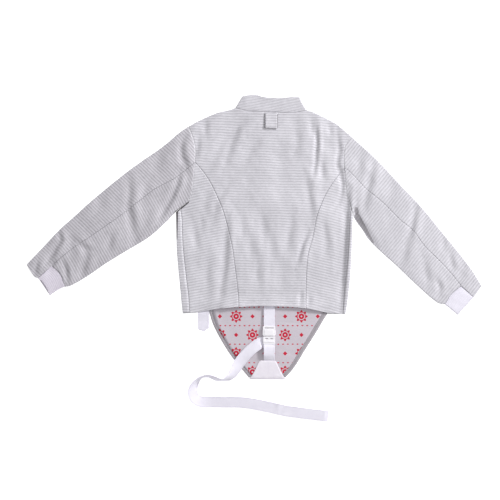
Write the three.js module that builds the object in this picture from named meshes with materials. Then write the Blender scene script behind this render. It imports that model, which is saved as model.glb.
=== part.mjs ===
// A fencing lame laid flat with its back up, in millimetres.
// X runs from the left wrist to the right one as seen, Y runs from hem to collar, Z points up.
// The origin is on the floor, on the garment's centre line, about level with the underarms.
import * as THREE from 'three';

// Driving sizes
const cloth = 2;
const seamGap = 0.3;
const layerTop = 6.4;
const webbing = { wide: 30, thick: 1.8 };
const lining = { thick: 1.5 };
const placket = { wide: 28, thick: 1, x: -174, bottom: -246, top: 236 };
const buckle = { x: -5.5, top: -312, split: -340, bottom: -362, wide: 36, thick: 9, corner: 5, bevel: 1.2 };
const foldLimits = { low: 4.5, high: 8.3 };
const edgeTurn = layerTop / 2;
const linedTop = cloth + seamGap + lining.thick + seamGap;

// Cells along and across the pieces
const cells = {
  princess: 18, side: 10, slit: 2, sideBack: 7, halfArmhole: 5, elbow: 18, cuff: 3,
  neck: 10, shoulder: 6, frontHem: 4, bib: 6, lining: 12, placket: 8,
};

const materials = {
  lame: new THREE.MeshStandardMaterial({ color: 0xcfcbce, roughness: 0.55, metalness: 0.35 }),
  lining: new THREE.MeshStandardMaterial({ color: 0xcfc3c8, roughness: 0.9, metalness: 0 }),
  webbing: new THREE.MeshStandardMaterial({ color: 0xf0edf8, roughness: 0.8, metalness: 0 }),
  elastic: new THREE.MeshStandardMaterial({ color: 0xe6e1ee, roughness: 0.85, metalness: 0 }),
  plastic: new THREE.MeshStandardMaterial({ color: 0xf3f1f5, roughness: 0.4, metalness: 0 }),
};

const lame = new THREE.Group();

function addPiece(name, geometry, material) {
  const mesh = new THREE.Mesh(geometry, material);
  mesh.name = name;
  lame.add(mesh);
}

// Curves in plan: a smooth line through a few points, cut into equal lengths
function line(points, count) {
  const curve = new THREE.SplineCurve(points.map(([x, y]) => new THREE.Vector2(x, y)));
  return curve.getSpacedPoints(count);
}

function joined(...lines) {
  return lines.reduce((all, next) => all.concat(next.slice(1)));
}

function reversed(points) {
  return [...points].reverse();
}

// The neck, shoulders and hem
const neckPlaces = [[-96, 275], [-70, 268], [-43, 266], [0, 265], [38, 262], [65, 263], [97, 269]];
const neck = line(neckPlaces, cells.neck);
const shoulder = {
  left: line([[-223, 225], [-192, 242], [-148, 261], [-116, 269], [-96, 275]], cells.shoulder),
  right: line([[97, 269], [119, 262], [167, 238], [186, 225], [216, 200]], cells.shoulder),
};
const hem = {
  leftSide: line([[-219, -277], [-200, -276], [-148, -267], [-87, -261]], cells.sideBack),
  centre: line([[-87, -261], [-22, -259], [51, -261], [94, -265]], cells.neck + 2 * cells.shoulder),
  rightSide: line([[94, -265], [124, -271], [154, -277], [193, -280]], cells.sideBack),
};

// What differs between the left and the right half, each line from the hem or the armhole outwards
const halves = {
  left: {
    princess: [[-87, -261], [-89, -221], [-96, -162], [-104, -103], [-116, -49], [-130, 0], [-146, 38],
      [-165, 76], [-184, 104], [-205, 128]],
    side: [[-219, -277], [-222, -232], [-228, -184], [-235, -119], [-239, -59], [-240, -25], [-244, 4]],
    outline: [[-238, -279], [-241, -254], [-246, -200], [-250, -160], [-254, -108], [-255, -55], [-255, -5]],
    slit: [[-244, 4], [-223, 22]],
    armholeUpper: [[-205, 128], [-204, 162], [-211, 194], [-223, 225]],
    armholeLower: [[-205, 128], [-209, 90], [-213, 51], [-223, 22]],
    topEdge: [[-223, 225], [-248, 208], [-278, 182], [-310, 158], [-351, 130], [-397, 96], [-443, 59],
      [-489, 20], [-532, -19], [-570, -53], [-619, -105], [-659, -147]],
    elbow: [[-205, 128], [-259, 86], [-313, 57], [-346, 32], [-386, 0], [-427, -30], [-489, -73],
      [-537, -105], [-591, -150]],
    lowerEdge: [[-223, 22], [-240, 9], [-257, -5], [-280, -30], [-327, -72], [-381, -105], [-443, -143],
      [-494, -178], [-537, -203], [-555, -207]],
    wrist: [[-628, -184], [-640, -177], [-659, -147]],
    notch: [[-591, -150], [-628, -184]],
    underHem: [[-591, -150], [-575, -165], [-566, -178], [-559, -197], [-555, -207]],
    cuffEnd: [[-628, -184], [-614, -196], [-603, -215], [-597, -231]],
    cuffEdge: [[-555, -207], [-570, -213], [-597, -231]],
  },
  right: {
    princess: [[94, -265], [94, -216], [96, -162], [101, -116], [113, -73], [123, -19], [138, 22], [154, 54],
      [176, 86], [198, 113]],
    side: [[193, -280], [198, -216], [205, -151], [209, -94], [212, -32], [214, -12], [216, 4]],
    outline: [[201, -281], [206, -252], [211, -209], [215, -168], [217.5, -120], [219.5, -60], [221, -20]],
    slit: [[216, 4], [212, 22]],
    armholeUpper: [[198, 113], [197, 135], [197, 154], [202, 178], [216, 200]],
    armholeLower: [[198, 113], [202, 76], [205, 40], [212, 22]],
    topEdge: [[216, 200], [240, 178], [270, 151], [305, 116], [340, 78], [378, 38], [413, 0], [448, -43],
      [483, -86], [516, -127], [544, -165], [568, -204]],
    elbow: [[198, 113], [216, 99], [256, 57], [302, 19], [348, -27], [381, -54], [416, -100], [451, -134],
      [489, -175], [512, -205]],
    lowerEdge: [[212, 22], [220, 5], [225.5, -19], [235, -37], [247, -54], [264, -80], [300, -116],
      [335, -147], [367, -178], [400, -209], [429, -235], [451, -251], [468, -254]],
    wrist: [[546, -235], [556, -222], [568, -204]],
    notch: [[512, -205], [546, -235]],
    underHem: [[512, -205], [494, -219], [481, -232], [475, -243], [468, -254]],
    cuffEnd: [[546, -235], [503, -283]],
    cuffEdge: [[468, -254], [484, -267], [503, -283]],
  },
};

function sampled(half) {
  return {
    princess: line(half.princess, cells.princess),
    side: line(half.side, cells.side),
    outline: line(half.outline, cells.side),
    slit: line(half.slit, cells.slit),
    armholeUpper: line(half.armholeUpper, cells.halfArmhole),
    armholeLower: line(half.armholeLower, cells.halfArmhole),
    topEdge: line(half.topEdge, cells.elbow + cells.cuff),
    elbow: line(half.elbow, cells.elbow),
    lowerEdge: line(half.lowerEdge, cells.elbow),
    wrist: line(half.wrist, cells.halfArmhole),
    notch: line(half.notch, cells.cuff),
    underHem: line(half.underHem, cells.halfArmhole),
    cuffEnd: line(half.cuffEnd, cells.halfArmhole),
    cuffEdge: line(half.cuffEdge, cells.cuff),
  };
}
const left = sampled(halves.left);
const right = sampled(halves.right);

// The largest folds of the upper layer: a bent line through three places, its half width and its rise
const folds = [
  { x1: -43, y1: 250, x2: -108, y2: 176, x3: -127, y3: 108, wide: 10, rise: -1.2 },
  { x1: -90, y1: 245, x2: -140, y2: 190, x3: -150, y3: 120, wide: 16, rise: 1.1 },
  { x1: 123, y1: 221, x2: 123, y2: 165, x3: 115, y3: 95, wide: 8, rise: -1.8 },
  { x1: 142, y1: 215, x2: 142, y2: 165, x3: 138, y3: 100, wide: 12, rise: 1.6 },
  { x1: 100, y1: 215, x2: 99, y2: 165, x3: 92, y3: 90, wide: 13, rise: 1.2 },
  { x1: 178, y1: 205, x2: 180, y2: 130, x3: 190, y3: 60, wide: 9, rise: -1.3 },
  { x1: 95, y1: 86, x2: 100, y2: 54, x3: 111, y3: -22, wide: 9, rise: -1.2 },
  { x1: -211, y1: -32, x2: -207, y2: -70, x3: -200, y3: -108, wide: 9, rise: -0.8 },
  { x1: -127, y1: -32, x2: -122, y2: -81, x3: -131, y3: -190, wide: 9, rise: -1.6 },
  { x1: -148, y1: -50, x2: -146, y2: -110, x3: -150, y3: -190, wide: 13, rise: 1.3 },
  { x1: 100, y1: -59, x2: 80, y2: -105, x3: 70, y3: -140, wide: 8, rise: -1.4 },
  { x1: 57, y1: -14, x2: 50, y2: -50, x3: 41, y3: -100, wide: 12, rise: -0.9 },
  { x1: -24, y1: -14, x2: -20, y2: -48, x3: -16, y3: -81, wide: 12, rise: -0.8 },
  { x1: -76, y1: -32, x2: -60, y2: -90, x3: -38, y3: -160, wide: 16, rise: 1.1 },
  { x1: -5, y1: -235, x2: -5, y2: -250, x3: -5, y3: -275, wide: 34, rise: 2.4 },
  { x1: -219, y1: 213, x2: -243, y2: 170, x3: -229, y3: 100, wide: 11, rise: -1.6 },
  { x1: -243, y1: 103, x2: -270, y2: 32, x3: -300, y3: -24, wide: 9, rise: -1.8 },
  { x1: -268, y1: 112, x2: -294, y2: 42, x3: -322, y3: -20, wide: 14, rise: 1.5 },
  { x1: -327, y1: 76, x2: -342, y2: 50, x3: -354, y3: 27, wide: 12, rise: -1 },
  { x1: -386, y1: 80, x2: -386, y2: 5, x3: -370, y3: -70, wide: 11, rise: -1.7 },
  { x1: -412, y1: 60, x2: -412, y2: 0, x3: -400, y3: -70, wide: 14, rise: 1.3 },
  { x1: -508, y1: -85, x2: -503, y2: -130, x3: -513, y3: -180, wide: 10, rise: -1.3 },
  { x1: -575, y1: -70, x2: -569, y2: -95, x3: -600, y3: -140, wide: 10, rise: -1.1 },
  { x1: 278, y1: 135, x2: 264, y2: 76, x3: 246, y3: -8, wide: 11, rise: -1.5 },
  { x1: 302, y1: 100, x2: 290, y2: 50, x3: 272, y3: -20, wide: 14, rise: 1.3 },
  { x1: 392, y1: 15, x2: 381, y2: -30, x3: 350, y3: -130, wide: 10, rise: -1.6 },
  { x1: 418, y1: -20, x2: 408, y2: -60, x3: 385, y3: -140, wide: 14, rise: 1.4 },
  { x1: 483, y1: -110, x2: 470, y2: -160, x3: 450, y3: -215, wide: 10, rise: -1.3 },
];

function distanceToSpan(x, y, x1, y1, x2, y2) {
  const span = new THREE.Vector2(x2 - x1, y2 - y1);
  const start = new THREE.Vector2(x - x1, y - y1);
  const along = THREE.MathUtils.clamp(start.dot(span) / span.lengthSq(), 0, 1);
  return start.sub(span.multiplyScalar(along)).length();
}

function upperLayer(x, y) {
  const rises = folds.map(({ x1, y1, x2, y2, x3, y3, wide, rise }) => {
    const distance = Math.min(distanceToSpan(x, y, x1, y1, x2, y2), distanceToSpan(x, y, x2, y2, x3, y3));
    return rise * Math.exp(-((distance / wide) ** 2));
  });
  const total = rises.reduce((sum, rise) => sum + rise, layerTop);
  return THREE.MathUtils.clamp(total, foldLimits.low, foldLimits.high);
}

// A closed wall between two equal grids of points; a looped one has no side edges
function wall(outer, inner, looped = false) {
  const rows = outer.length;
  const columns = outer[0].length;
  const points = [...outer.flat(), ...inner.flat()];
  const innerStart = rows * columns;
  const corner = (row, column, side) => side * innerStart + row * columns + (column % columns);
  const faces = [];
  const quad = (a, b, c, d) => faces.push([a, b, c], [a, c, d]);
  const lastColumn = looped ? columns : columns - 1;
  for (let row = 0; row < rows - 1; row += 1) {
    for (let column = 0; column < lastColumn; column += 1) {
      const cellCorners = (side) => [[0, 0], [0, 1], [1, 1], [1, 0]]
        .map(([up, over]) => corner(row + up, column + over, side));
      const [a, b, c, d] = cellCorners(0);
      quad(a, b, c, d);
      const [e, f, g, h] = cellCorners(1);
      quad(e, h, g, f);
    }
    if (!looped) {
      const end = columns - 1;
      quad(corner(row, 0, 0), corner(row + 1, 0, 0), corner(row + 1, 0, 1), corner(row, 0, 1));
      quad(corner(row, end, 0), corner(row, end, 1), corner(row + 1, end, 1), corner(row + 1, end, 0));
    }
  }
  for (let column = 0; column < lastColumn; column += 1) {
    const end = rows - 1;
    const next = column + 1;
    quad(corner(0, column, 0), corner(0, column, 1), corner(0, next, 1), corner(0, next, 0));
    quad(corner(end, column, 0), corner(end, next, 0), corner(end, next, 1), corner(end, column, 1));
  }
  const volume = faces.reduce((sum, [a, b, c]) => sum + points[a].dot(points[b].clone().cross(points[c])), 0);
  if (volume < 0) {
    faces.forEach((face) => face.reverse());
  }
  const geometry = new THREE.BufferGeometry().setFromPoints(points);
  geometry.setIndex(faces.flat());
  geometry.computeVertexNormals();
  return geometry;
}

// A grid of places in plan, stretched between four edges and drawn in by half a seam gap.
// The first and last rows lie on the edges named near and far, the columns' ends on first and last.
function patch({ first, last, near, far }) {
  const rows = first.length - 1;
  const columns = near.length - 1;
  const grid = [];
  for (let row = 0; row <= rows; row += 1) {
    const v = row / rows;
    grid.push(near.map((start, column) => {
      const u = column / columns;
      const place = start.clone().multiplyScalar(1 - v).addScaledVector(far[column], v);
      place.addScaledVector(first[row], 1 - u).addScaledVector(last[row], u);
      place.addScaledVector(near[0], -(1 - u) * (1 - v)).addScaledVector(near[columns], -u * (1 - v));
      return place.addScaledVector(far[0], -(1 - u) * v).addScaledVector(far[columns], -u * v);
    }));
  }
  return drawnIn(grid, seamGap / 2);
}

function drawnIn(grid, distance) {
  const rows = grid.length - 1;
  const columns = grid[0].length - 1;
  const moved = grid.map((row) => row.map((place) => place.clone()));
  const shift = (row, column, before, after, towards) => {
    const tangent = after.clone().sub(before).normalize();
    const normal = new THREE.Vector2(-tangent.y, tangent.x);
    const inward = normal.dot(towards.clone().sub(grid[row][column])) < 0 ? -distance : distance;
    moved[row][column].addScaledVector(normal, inward);
  };
  for (let row = 0; row <= rows; row += 1) {
    const below = Math.max(row - 1, 0);
    const above = Math.min(row + 1, rows);
    shift(row, 0, grid[below][0], grid[above][0], grid[row][1]);
    shift(row, columns, grid[below][columns], grid[above][columns], grid[row][columns - 1]);
  }
  for (let column = 0; column <= columns; column += 1) {
    const before = Math.max(column - 1, 0);
    const after = Math.min(column + 1, columns);
    shift(0, column, grid[0][before], grid[0][after], grid[1][column]);
    shift(rows, column, grid[rows][before], grid[rows][after], grid[rows - 1][column]);
  }
  return moved;
}

function raised(grid, heightAt) {
  return grid.map((row) => row.map(({ x, y }) => new THREE.Vector3(x, y, heightAt(x, y))));
}

// A panel of the upper layer
function upperPanel(edges) {
  const grid = patch(edges);
  return wall(raised(grid, upperLayer), raised(grid, (x, y) => upperLayer(x, y) - cloth));
}

// Points round a turned edge, from the floor up to the given angle in degrees, at a place in plan
function turnedEdge(edge, inside, degrees) {
  const inward = inside.clone().sub(edge).normalize();
  return degrees.map((angle) => {
    const turn = THREE.MathUtils.degToRad(angle);
    const at = (radius) => {
      const place = edge.clone().addScaledVector(inward, edgeTurn - radius * Math.sin(turn));
      return new THREE.Vector3(place.x, place.y, edgeTurn - radius * Math.cos(turn));
    };
    return { outer: at(edgeTurn), inner: at(edgeTurn - cloth) };
  });
}

function layerPoints(places, outerHeight, innerHeight) {
  return places.map(({ x, y }) => ({
    outer: new THREE.Vector3(x, y, outerHeight(x, y)),
    inner: new THREE.Vector3(x, y, innerHeight(x, y)),
  }));
}

const topOuter = (x, y) => upperLayer(x, y);
const topInner = (x, y) => upperLayer(x, y) - cloth;
const floorOuter = () => 0;
const floorInner = () => cloth;

function wallOfSections(sections, looped = false) {
  const side = (name) => sections.map((section) => section.map((point) => point[name]));
  return wall(side('outer'), side('inner'), looped);
}

// A full turn from the floor to the upper layer, in degrees
const fullTurn = [0, 45, 90, 135, 180];

// Half of a flattened tube: an upper and a lower layer joined by a turned edge along the grid's last column
function halfTube(edges) {
  const sections = patch(edges).map((row) => {
    const edge = row[row.length - 1];
    const open = row.slice(0, -1);
    const inside = open[open.length - 1];
    return [
      ...layerPoints(open, topOuter, topInner),
      ...turnedEdge(edge, inside, reversed(fullTurn)),
      ...layerPoints(reversed(open), floorOuter, floorInner),
    ];
  });
  return wallOfSections(sections);
}

// The back: a centre panel and two side panels
addPiece('back_centre', upperPanel({
  near: hem.centre,
  far: joined(shoulder.left, neck, shoulder.right),
  first: joined(left.princess, left.armholeUpper),
  last: joined(right.princess, right.armholeUpper),
}), materials.lame);

// The side panels narrow to a blunt point where the princess seam reaches the armhole
const bluntShare = 0.3;

function sideBack(half, hemLine) {
  const climb = joined(half.side, half.slit, reversed(half.armholeLower));
  const tip = climb[climb.length - 1];
  const outerEnd = tip.clone().lerp(climb[climb.length - 2], bluntShare);
  const innerEnd = tip.clone().lerp(half.princess[half.princess.length - 2], bluntShare);
  const first = [...climb.slice(0, -1), outerEnd];
  const last = resampled([...half.princess.slice(0, -1), innerEnd], first.length - 1);
  const far = line([outerEnd.toArray(), innerEnd.toArray()], cells.sideBack);
  return upperPanel({ near: hemLine, far, first, last });
}

function resampled(points, count) {
  return points.length === count + 1 ? points : line(points.map((point) => point.toArray()), count);
}

addPiece('back_side_left', sideBack(left, hem.leftSide), materials.lame);
addPiece('back_side_right', sideBack(right, reversed(hem.rightSide)), materials.lame);

// The fronts lie on the floor. Below the underarm they wrap round the outline up to the side seam,
// and above it their edge only lifts a little.
const lift = [0, 12, 24, 36, 48, 56, 64];

function front(edges, half) {
  const rim = joined(half.outline, [half.outline[cells.side], ...half.slit], reversed(half.armholeLower),
    half.armholeUpper);
  const placketLine = line([[placket.x, -274], [placket.x, 250.5]], rim.length - 1);
  const sections = patch({ ...edges, first: placketLine, last: rim }).map((row, index) => {
    const edge = row[row.length - 1];
    const floor = layerPoints(row.slice(0, -1), floorOuter, floorInner);
    if (index > cells.side) {
      return [...floor, ...turnedEdge(edge, row[row.length - 2], lift)];
    }
    const seam = half.side[index];
    const seamEnd = seam.clone().lerp(edge, seamGap / 2 / seam.distanceTo(edge));
    const inward = seamEnd.clone().sub(edge).normalize();
    const stripStart = edge.clone().addScaledVector(inward, edgeTurn);
    const strip = [stripStart.clone().lerp(seamEnd, 0.5), seamEnd];
    return [...floor, ...turnedEdge(edge, seam, fullTurn), ...layerPoints(strip, topOuter, topInner)];
  });
  return wallOfSections(sections);
}

addPiece('front_left', front({
  near: line([[placket.x, -274], [-200, -277], [-236, -279]], cells.frontHem),
  far: line([[placket.x, 250.5], [-200, 237.5], [-223, 225]], cells.frontHem),
}, left), materials.lame);

const bib = {
  left: [[-167, -276], [-154, -314], [-130, -359], [-103, -400], [-60, -452]],
  bottom: [[-60, -452], [39, -452]],
  right: [[39, -452], [63, -424], [92, -377], [121, -331], [151, -280]],
};
addPiece('front_right', front({
  near: joined([new THREE.Vector2(placket.x, -274), new THREE.Vector2(-167, -276)], line(bib.left, cells.bib),
    line(bib.bottom, 2), line(bib.right, cells.bib), line([[151, -280], [200, -281]], 5)),
  far: joined(line([[placket.x, 250.5], [-148, 261], [-116, 269], [-96, 275]], 4), neck, shoulder.right),
}, right), materials.lame);

// A flat piece between four edges, from one height to another
function flatPanel(edges, bottom, top) {
  const grid = patch(edges);
  return wall(raised(grid, () => top), raised(grid, () => bottom));
}

const insideFloor = cloth + seamGap;
const placketSides = [-1, 1].map((side) => placket.x + (side * placket.wide) / 2);
const [placketFirst, placketLast] = placketSides.map((x) => (
  line([[x, placket.bottom], [x, placket.top]], cells.placket)));
const [placketNear, placketFar] = [placket.bottom, placket.top].map((y) => (
  line(placketSides.map((x) => [x, y]), 2)));
addPiece('front_placket', flatPanel({
  near: placketNear, far: placketFar, first: placketFirst, last: placketLast,
}, insideFloor, insideFloor + placket.thick), materials.lame);

// The bib's lining, up to just under the back's hem
addPiece('bib_lining', flatPanel({
  near: line([[-52, -446], [33, -446]], cells.placket),
  far: line([[-157, -250], [141, -250]], cells.placket),
  first: line([[-52, -446], [-95, -396], [-122, -355], [-146, -312], [-157, -276], [-157, -250]],
    cells.lining),
  last: line([[33, -446], [55, -420], [84, -373], [112, -328], [138, -284], [141, -250]], cells.lining),
}, insideFloor, insideFloor + lining.thick), materials.lining);

// The collar is a flattened band, so its section is a loop
const collarEdges = {
  near: neck,
  far: line([[-78, 306], [-57, 310], [-38, 310], [-16, 304], [24, 302], [51, 304], [77, 305]], cells.neck),
  first: line([[-96, 275], [-78, 306]], 3),
  last: line([[97, 269], [87, 286], [77, 305]], 3),
};
addPiece('collar', wallOfSections(patch(collarEdges).map((row) => {
  const middle = row.slice(1, -1);
  return [
    ...layerPoints(middle, topOuter, topInner),
    ...turnedEdge(row[row.length - 1], middle[middle.length - 1], reversed(fullTurn)),
    ...layerPoints(reversed(middle), floorOuter, floorInner),
    ...turnedEdge(row[0], middle[0], fullTurn),
  ];
}), true), materials.lame);

// The tab for the mask cord's clip lies on the centre back
const tab = { left: -16, right: 17.5, top: 262, bottomLeft: 221, bottomRight: 219, lift: 0.6, thick: 1.8 };
const tabGrid = patch({
  near: line([[tab.left, tab.bottomLeft], [tab.right, tab.bottomRight]], 4),
  far: line([[tab.left, tab.top], [tab.right, tab.top]], 4),
  first: line([[tab.left, tab.bottomLeft], [tab.left, tab.top]], 5),
  last: line([[tab.right, tab.bottomRight], [tab.right, tab.top]], 5),
});
addPiece('clip_tab', wall(
  raised(tabGrid, (x, y) => upperLayer(x, y) + tab.lift + tab.thick),
  raised(tabGrid, (x, y) => upperLayer(x, y) + tab.lift),
), materials.lame);

// The sleeves and cuffs
for (const [name, half] of Object.entries({ left, right })) {
  addPiece(`sleeve_${name}_top`, halfTube({
    near: half.armholeUpper,
    far: half.wrist,
    first: joined(half.elbow, half.notch),
    last: half.topEdge,
  }), materials.lame);
  addPiece(`sleeve_${name}_under`, halfTube({
    near: half.armholeLower,
    far: half.underHem,
    first: half.elbow,
    last: half.lowerEdge,
  }), materials.lame);
  addPiece(`cuff_${name}`, halfTube({
    near: half.underHem,
    far: half.cuffEnd,
    first: half.notch,
    last: half.cuffEdge,
  }), materials.elastic);
}

// Webbing along a route of centre points; roll turns it about its length, share narrows it
function ribbon(route, count, thick = webbing.thick) {
  const path = new THREE.CatmullRomCurve3(route.map(({ x, y, z }) => new THREE.Vector3(x, y, z)));
  const rolls = route.map(({ roll = 0, share = 1 }) => new THREE.Vector2(roll, share));
  const rollPath = new THREE.SplineCurve(rolls);
  const sections = [];
  for (let step = 0; step <= count; step += 1) {
    const place = path.getPoint(step / count);
    const tangent = path.getTangent(step / count);
    const turned = rollPath.getPoint(step / count);
    const level = new THREE.Vector3(tangent.y, -tangent.x, 0).normalize();
    const across = level.applyAxisAngle(tangent, THREE.MathUtils.degToRad(turned.x));
    const normal = tangent.clone().cross(across).normalize();
    const half = (webbing.wide * turned.y) / 2;
    const reach = Math.abs(across.z) * half + (Math.abs(normal.z) * thick) / 2;
    place.z = Math.max(place.z, reach);
    sections.push([-1, 0, 1].map((side) => {
      const middle = place.clone().addScaledVector(across, side * half);
      return {
        outer: middle.clone().addScaledVector(normal, thick / 2),
        inner: middle.clone().addScaledVector(normal, -thick / 2),
      };
    }));
  }
  return wallOfSections(sections);
}

const onLining = linedTop + webbing.thick / 2;
const strapX = -5;
addPiece('strap_upper', ribbon([
  { x: strapX, y: -242, z: onLining },
  { x: strapX, y: -262, z: onLining },
  { x: strapX, y: -285, z: onLining + 1.2 },
  { x: strapX, y: buckle.top + seamGap, z: onLining + 3 },
], 10), materials.webbing);
addPiece('strap_lower', ribbon([
  { x: strapX, y: buckle.bottom - seamGap, z: onLining + 2.5 },
  { x: strapX, y: -378, z: onLining + 0.8 },
  { x: strapX, y: -392, z: onLining },
  { x: strapX, y: -405.7, z: onLining },
], 8), materials.webbing);

// The patch lies on the lining and turns down over the bib's lower edge to the floor
const patchShape = {
  top: -406, bend: -449, bottom: -457, topLeft: -30, topRight: 14, lowLeft: -57, lowRight: 38,
};
const patchRise = linedTop + webbing.thick;
const patchSection = [
  { y: patchShape.top, z: patchRise, innerY: patchShape.top, innerZ: linedTop },
  { y: -428, z: patchRise, innerY: -428, innerZ: linedTop },
  { y: patchShape.bend, z: patchRise, innerY: patchShape.bend, innerZ: linedTop },
  { y: -455, z: 4.6, innerY: -453.6, innerZ: 3.3 },
  { y: patchShape.bottom, z: 2.4, innerY: -455.2, innerZ: 1.8 },
  { y: patchShape.bottom, z: 0, innerY: -455.2, innerZ: 0 },
];
addPiece('strap_patch', wallOfSections(patchSection.map(({ y, z, innerY, innerZ }) => {
  const down = (patchShape.top - y) / (patchShape.top - patchShape.bottom);
  const start = THREE.MathUtils.lerp(patchShape.topLeft, patchShape.lowLeft, down);
  const end = THREE.MathUtils.lerp(patchShape.topRight, patchShape.lowRight, down);
  return [0, 0.25, 0.5, 0.75, 1].map((share) => {
    const x = THREE.MathUtils.lerp(start, end, share);
    return { outer: new THREE.Vector3(x, y, z), inner: new THREE.Vector3(x, innerY, innerZ) };
  });
})), materials.webbing);

// The loose tail leaves the buckle, drops off the bib, stands on edge, turns and runs out flat
addPiece('strap_tail', ribbon([
  { x: -26, y: -356, z: 11, roll: 16 },
  { x: -46, y: -371, z: 9, roll: 10 },
  { x: -68, y: -390, z: 8.6, roll: 2 },
  { x: -85, y: -411, z: 10, roll: -8 },
  { x: -98, y: -433, z: 12.5, roll: -26 },
  { x: -111, y: -449, z: 14, roll: -48 },
  { x: -130, y: -457, z: 15, roll: -74 },
  { x: -148, y: -454, z: 15, roll: -66 },
  { x: -168, y: -447, z: 15, roll: -70 },
  { x: -188, y: -450, z: 15, roll: -74 },
  { x: -202, y: -464, z: 14, roll: -62 },
  { x: -210, y: -482, z: 12, roll: -48 },
  { x: -209, y: -499, z: 9, roll: -34 },
  { x: -200, y: -511, z: 6, roll: -20 },
  { x: -185, y: -517.5, z: 3, roll: -8 },
  { x: -159, y: -518, z: 0.9, roll: 0 },
  { x: -84, y: -519, z: 0.9, roll: 0 },
  { x: -40, y: -525, z: 0.9, roll: 0 },
  { x: 3, y: -534, z: 0.9, roll: 0 },
  { x: 51, y: -544, z: 0.9, roll: 0 },
  { x: 155, y: -557, z: 0.9, roll: 0 },
], 84), materials.webbing);

// The end of a side strap comes out from between the layers and drops to the floor
addPiece('side_strap', ribbon([
  { x: -182, y: -250, z: insideFloor + webbing.thick / 2 },
  { x: -182, y: -272, z: insideFloor + webbing.thick / 2 },
  { x: -182, y: -283, z: insideFloor + webbing.thick / 2 - 0.4 },
  { x: -182, y: -300, z: webbing.thick / 2 },
  { x: -182, y: -318, z: webbing.thick / 2 },
  { x: -181, y: -328, z: webbing.thick / 2, share: 0.5 },
], 16), materials.webbing);

// The side-release buckle, closed, with two slots beside its prongs
function roundedPlate(width, from, to, corner, notches = []) {
  const shape = new THREE.Shape();
  const half = width / 2;
  shape.moveTo(-half + corner, from);
  shape.lineTo(half - corner, from);
  shape.absarc(half - corner, from + corner, corner, -Math.PI / 2, 0);
  shape.lineTo(half, to - corner);
  shape.absarc(half - corner, to - corner, corner, 0, Math.PI / 2);
  notches.forEach(({ right: notchRight, left: notchLeft, deep }) => {
    shape.lineTo(notchRight, to);
    shape.lineTo(notchRight, to - deep);
    shape.lineTo(notchLeft, to - deep);
    shape.lineTo(notchLeft, to);
  });
  shape.lineTo(-half + corner, to);
  shape.absarc(-half + corner, to - corner, corner, Math.PI / 2, Math.PI);
  shape.lineTo(-half, from + corner);
  shape.absarc(-half + corner, from + corner, corner, Math.PI, Math.PI * 1.5);
  return shape;
}

function plateGeometry(shape) {
  const geometry = new THREE.ExtrudeGeometry(shape, {
    depth: buckle.thick - 2 * buckle.bevel,
    bevelThickness: buckle.bevel,
    bevelSize: buckle.bevel,
    bevelOffset: -buckle.bevel,
    bevelSegments: 2,
    curveSegments: 5,
  });
  return geometry.translate(buckle.x, 0, linedTop + buckle.bevel);
}

const halfSplit = seamGap / 2;
const socket = roundedPlate(buckle.wide, buckle.split + halfSplit, buckle.top, buckle.corner);
const slots = [{ right: 11.5, left: 3.5, deep: 7 }, { right: -2.5, left: -10.5, deep: 7 }];
const plug = roundedPlate(buckle.wide - 2, buckle.bottom, buckle.split - halfSplit, buckle.corner - 1, slots);
addPiece('buckle_female', plateGeometry(socket), materials.plastic);
addPiece('buckle_male', plateGeometry(plug), materials.plastic);

export default lame;
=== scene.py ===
"""A fencing lame laid flat with its back up: cloth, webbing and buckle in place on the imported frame."""
import math
from collections import namedtuple

import bpy
import numpy as np
from mathutils import Matrix


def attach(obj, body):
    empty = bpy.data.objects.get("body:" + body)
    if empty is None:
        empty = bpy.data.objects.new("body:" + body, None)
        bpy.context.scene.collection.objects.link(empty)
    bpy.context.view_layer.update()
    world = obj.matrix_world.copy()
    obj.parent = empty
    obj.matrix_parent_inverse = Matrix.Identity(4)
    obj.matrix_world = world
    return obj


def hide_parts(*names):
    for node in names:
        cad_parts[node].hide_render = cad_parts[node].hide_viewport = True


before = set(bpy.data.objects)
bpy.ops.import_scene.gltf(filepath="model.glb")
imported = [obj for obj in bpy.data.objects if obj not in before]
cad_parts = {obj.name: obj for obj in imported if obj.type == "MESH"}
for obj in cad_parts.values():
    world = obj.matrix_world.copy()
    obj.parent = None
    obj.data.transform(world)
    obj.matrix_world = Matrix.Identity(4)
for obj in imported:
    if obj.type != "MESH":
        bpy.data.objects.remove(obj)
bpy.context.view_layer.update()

# The view: the garment lies on a white floor, and the camera looks straight down on it.
# One pixel of the photograph's 500 is 2.7 mm on the floor, since the 30 mm webbing is 11 pixels wide.
MM = 0.001
PIXEL = 2.7 * MM
PICTURE = 500
photo_origin = (271, 210)
camera_height = 3.2
sensor = 36

scene = bpy.context.scene
scene.view_settings.view_transform = "Standard"
camera = bpy.data.objects.new("camera", bpy.data.cameras.new("camera"))
camera.data.sensor_width = sensor
camera.data.lens = sensor * camera_height / (PICTURE * PIXEL)
camera.location = (
    (PICTURE / 2 - photo_origin[0]) * PIXEL,
    (photo_origin[1] - PICTURE / 2) * PIXEL,
    camera_height,
)
scene.collection.objects.link(camera)
scene.camera = camera


def linear(hex_colour):
    """Turns an sRGB hex colour into linear values with alpha."""
    parts = [int(hex_colour[i:i + 2], 16) / 255 for i in (1, 3, 5)]
    return (*[p / 12.92 if p <= 0.04045 else ((p + 0.055) / 1.055) ** 2.4 for p in parts], 1)


def new_material(name, **shader):
    """A material with its own shader's sockets set."""
    material = bpy.data.materials.new(name)
    material.use_nodes = True
    surface = material.node_tree.nodes["Principled BSDF"]
    for key, value in shader.items():
        surface.inputs[key.replace("_", " ")].default_value = value
    return material, material.node_tree, surface


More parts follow.
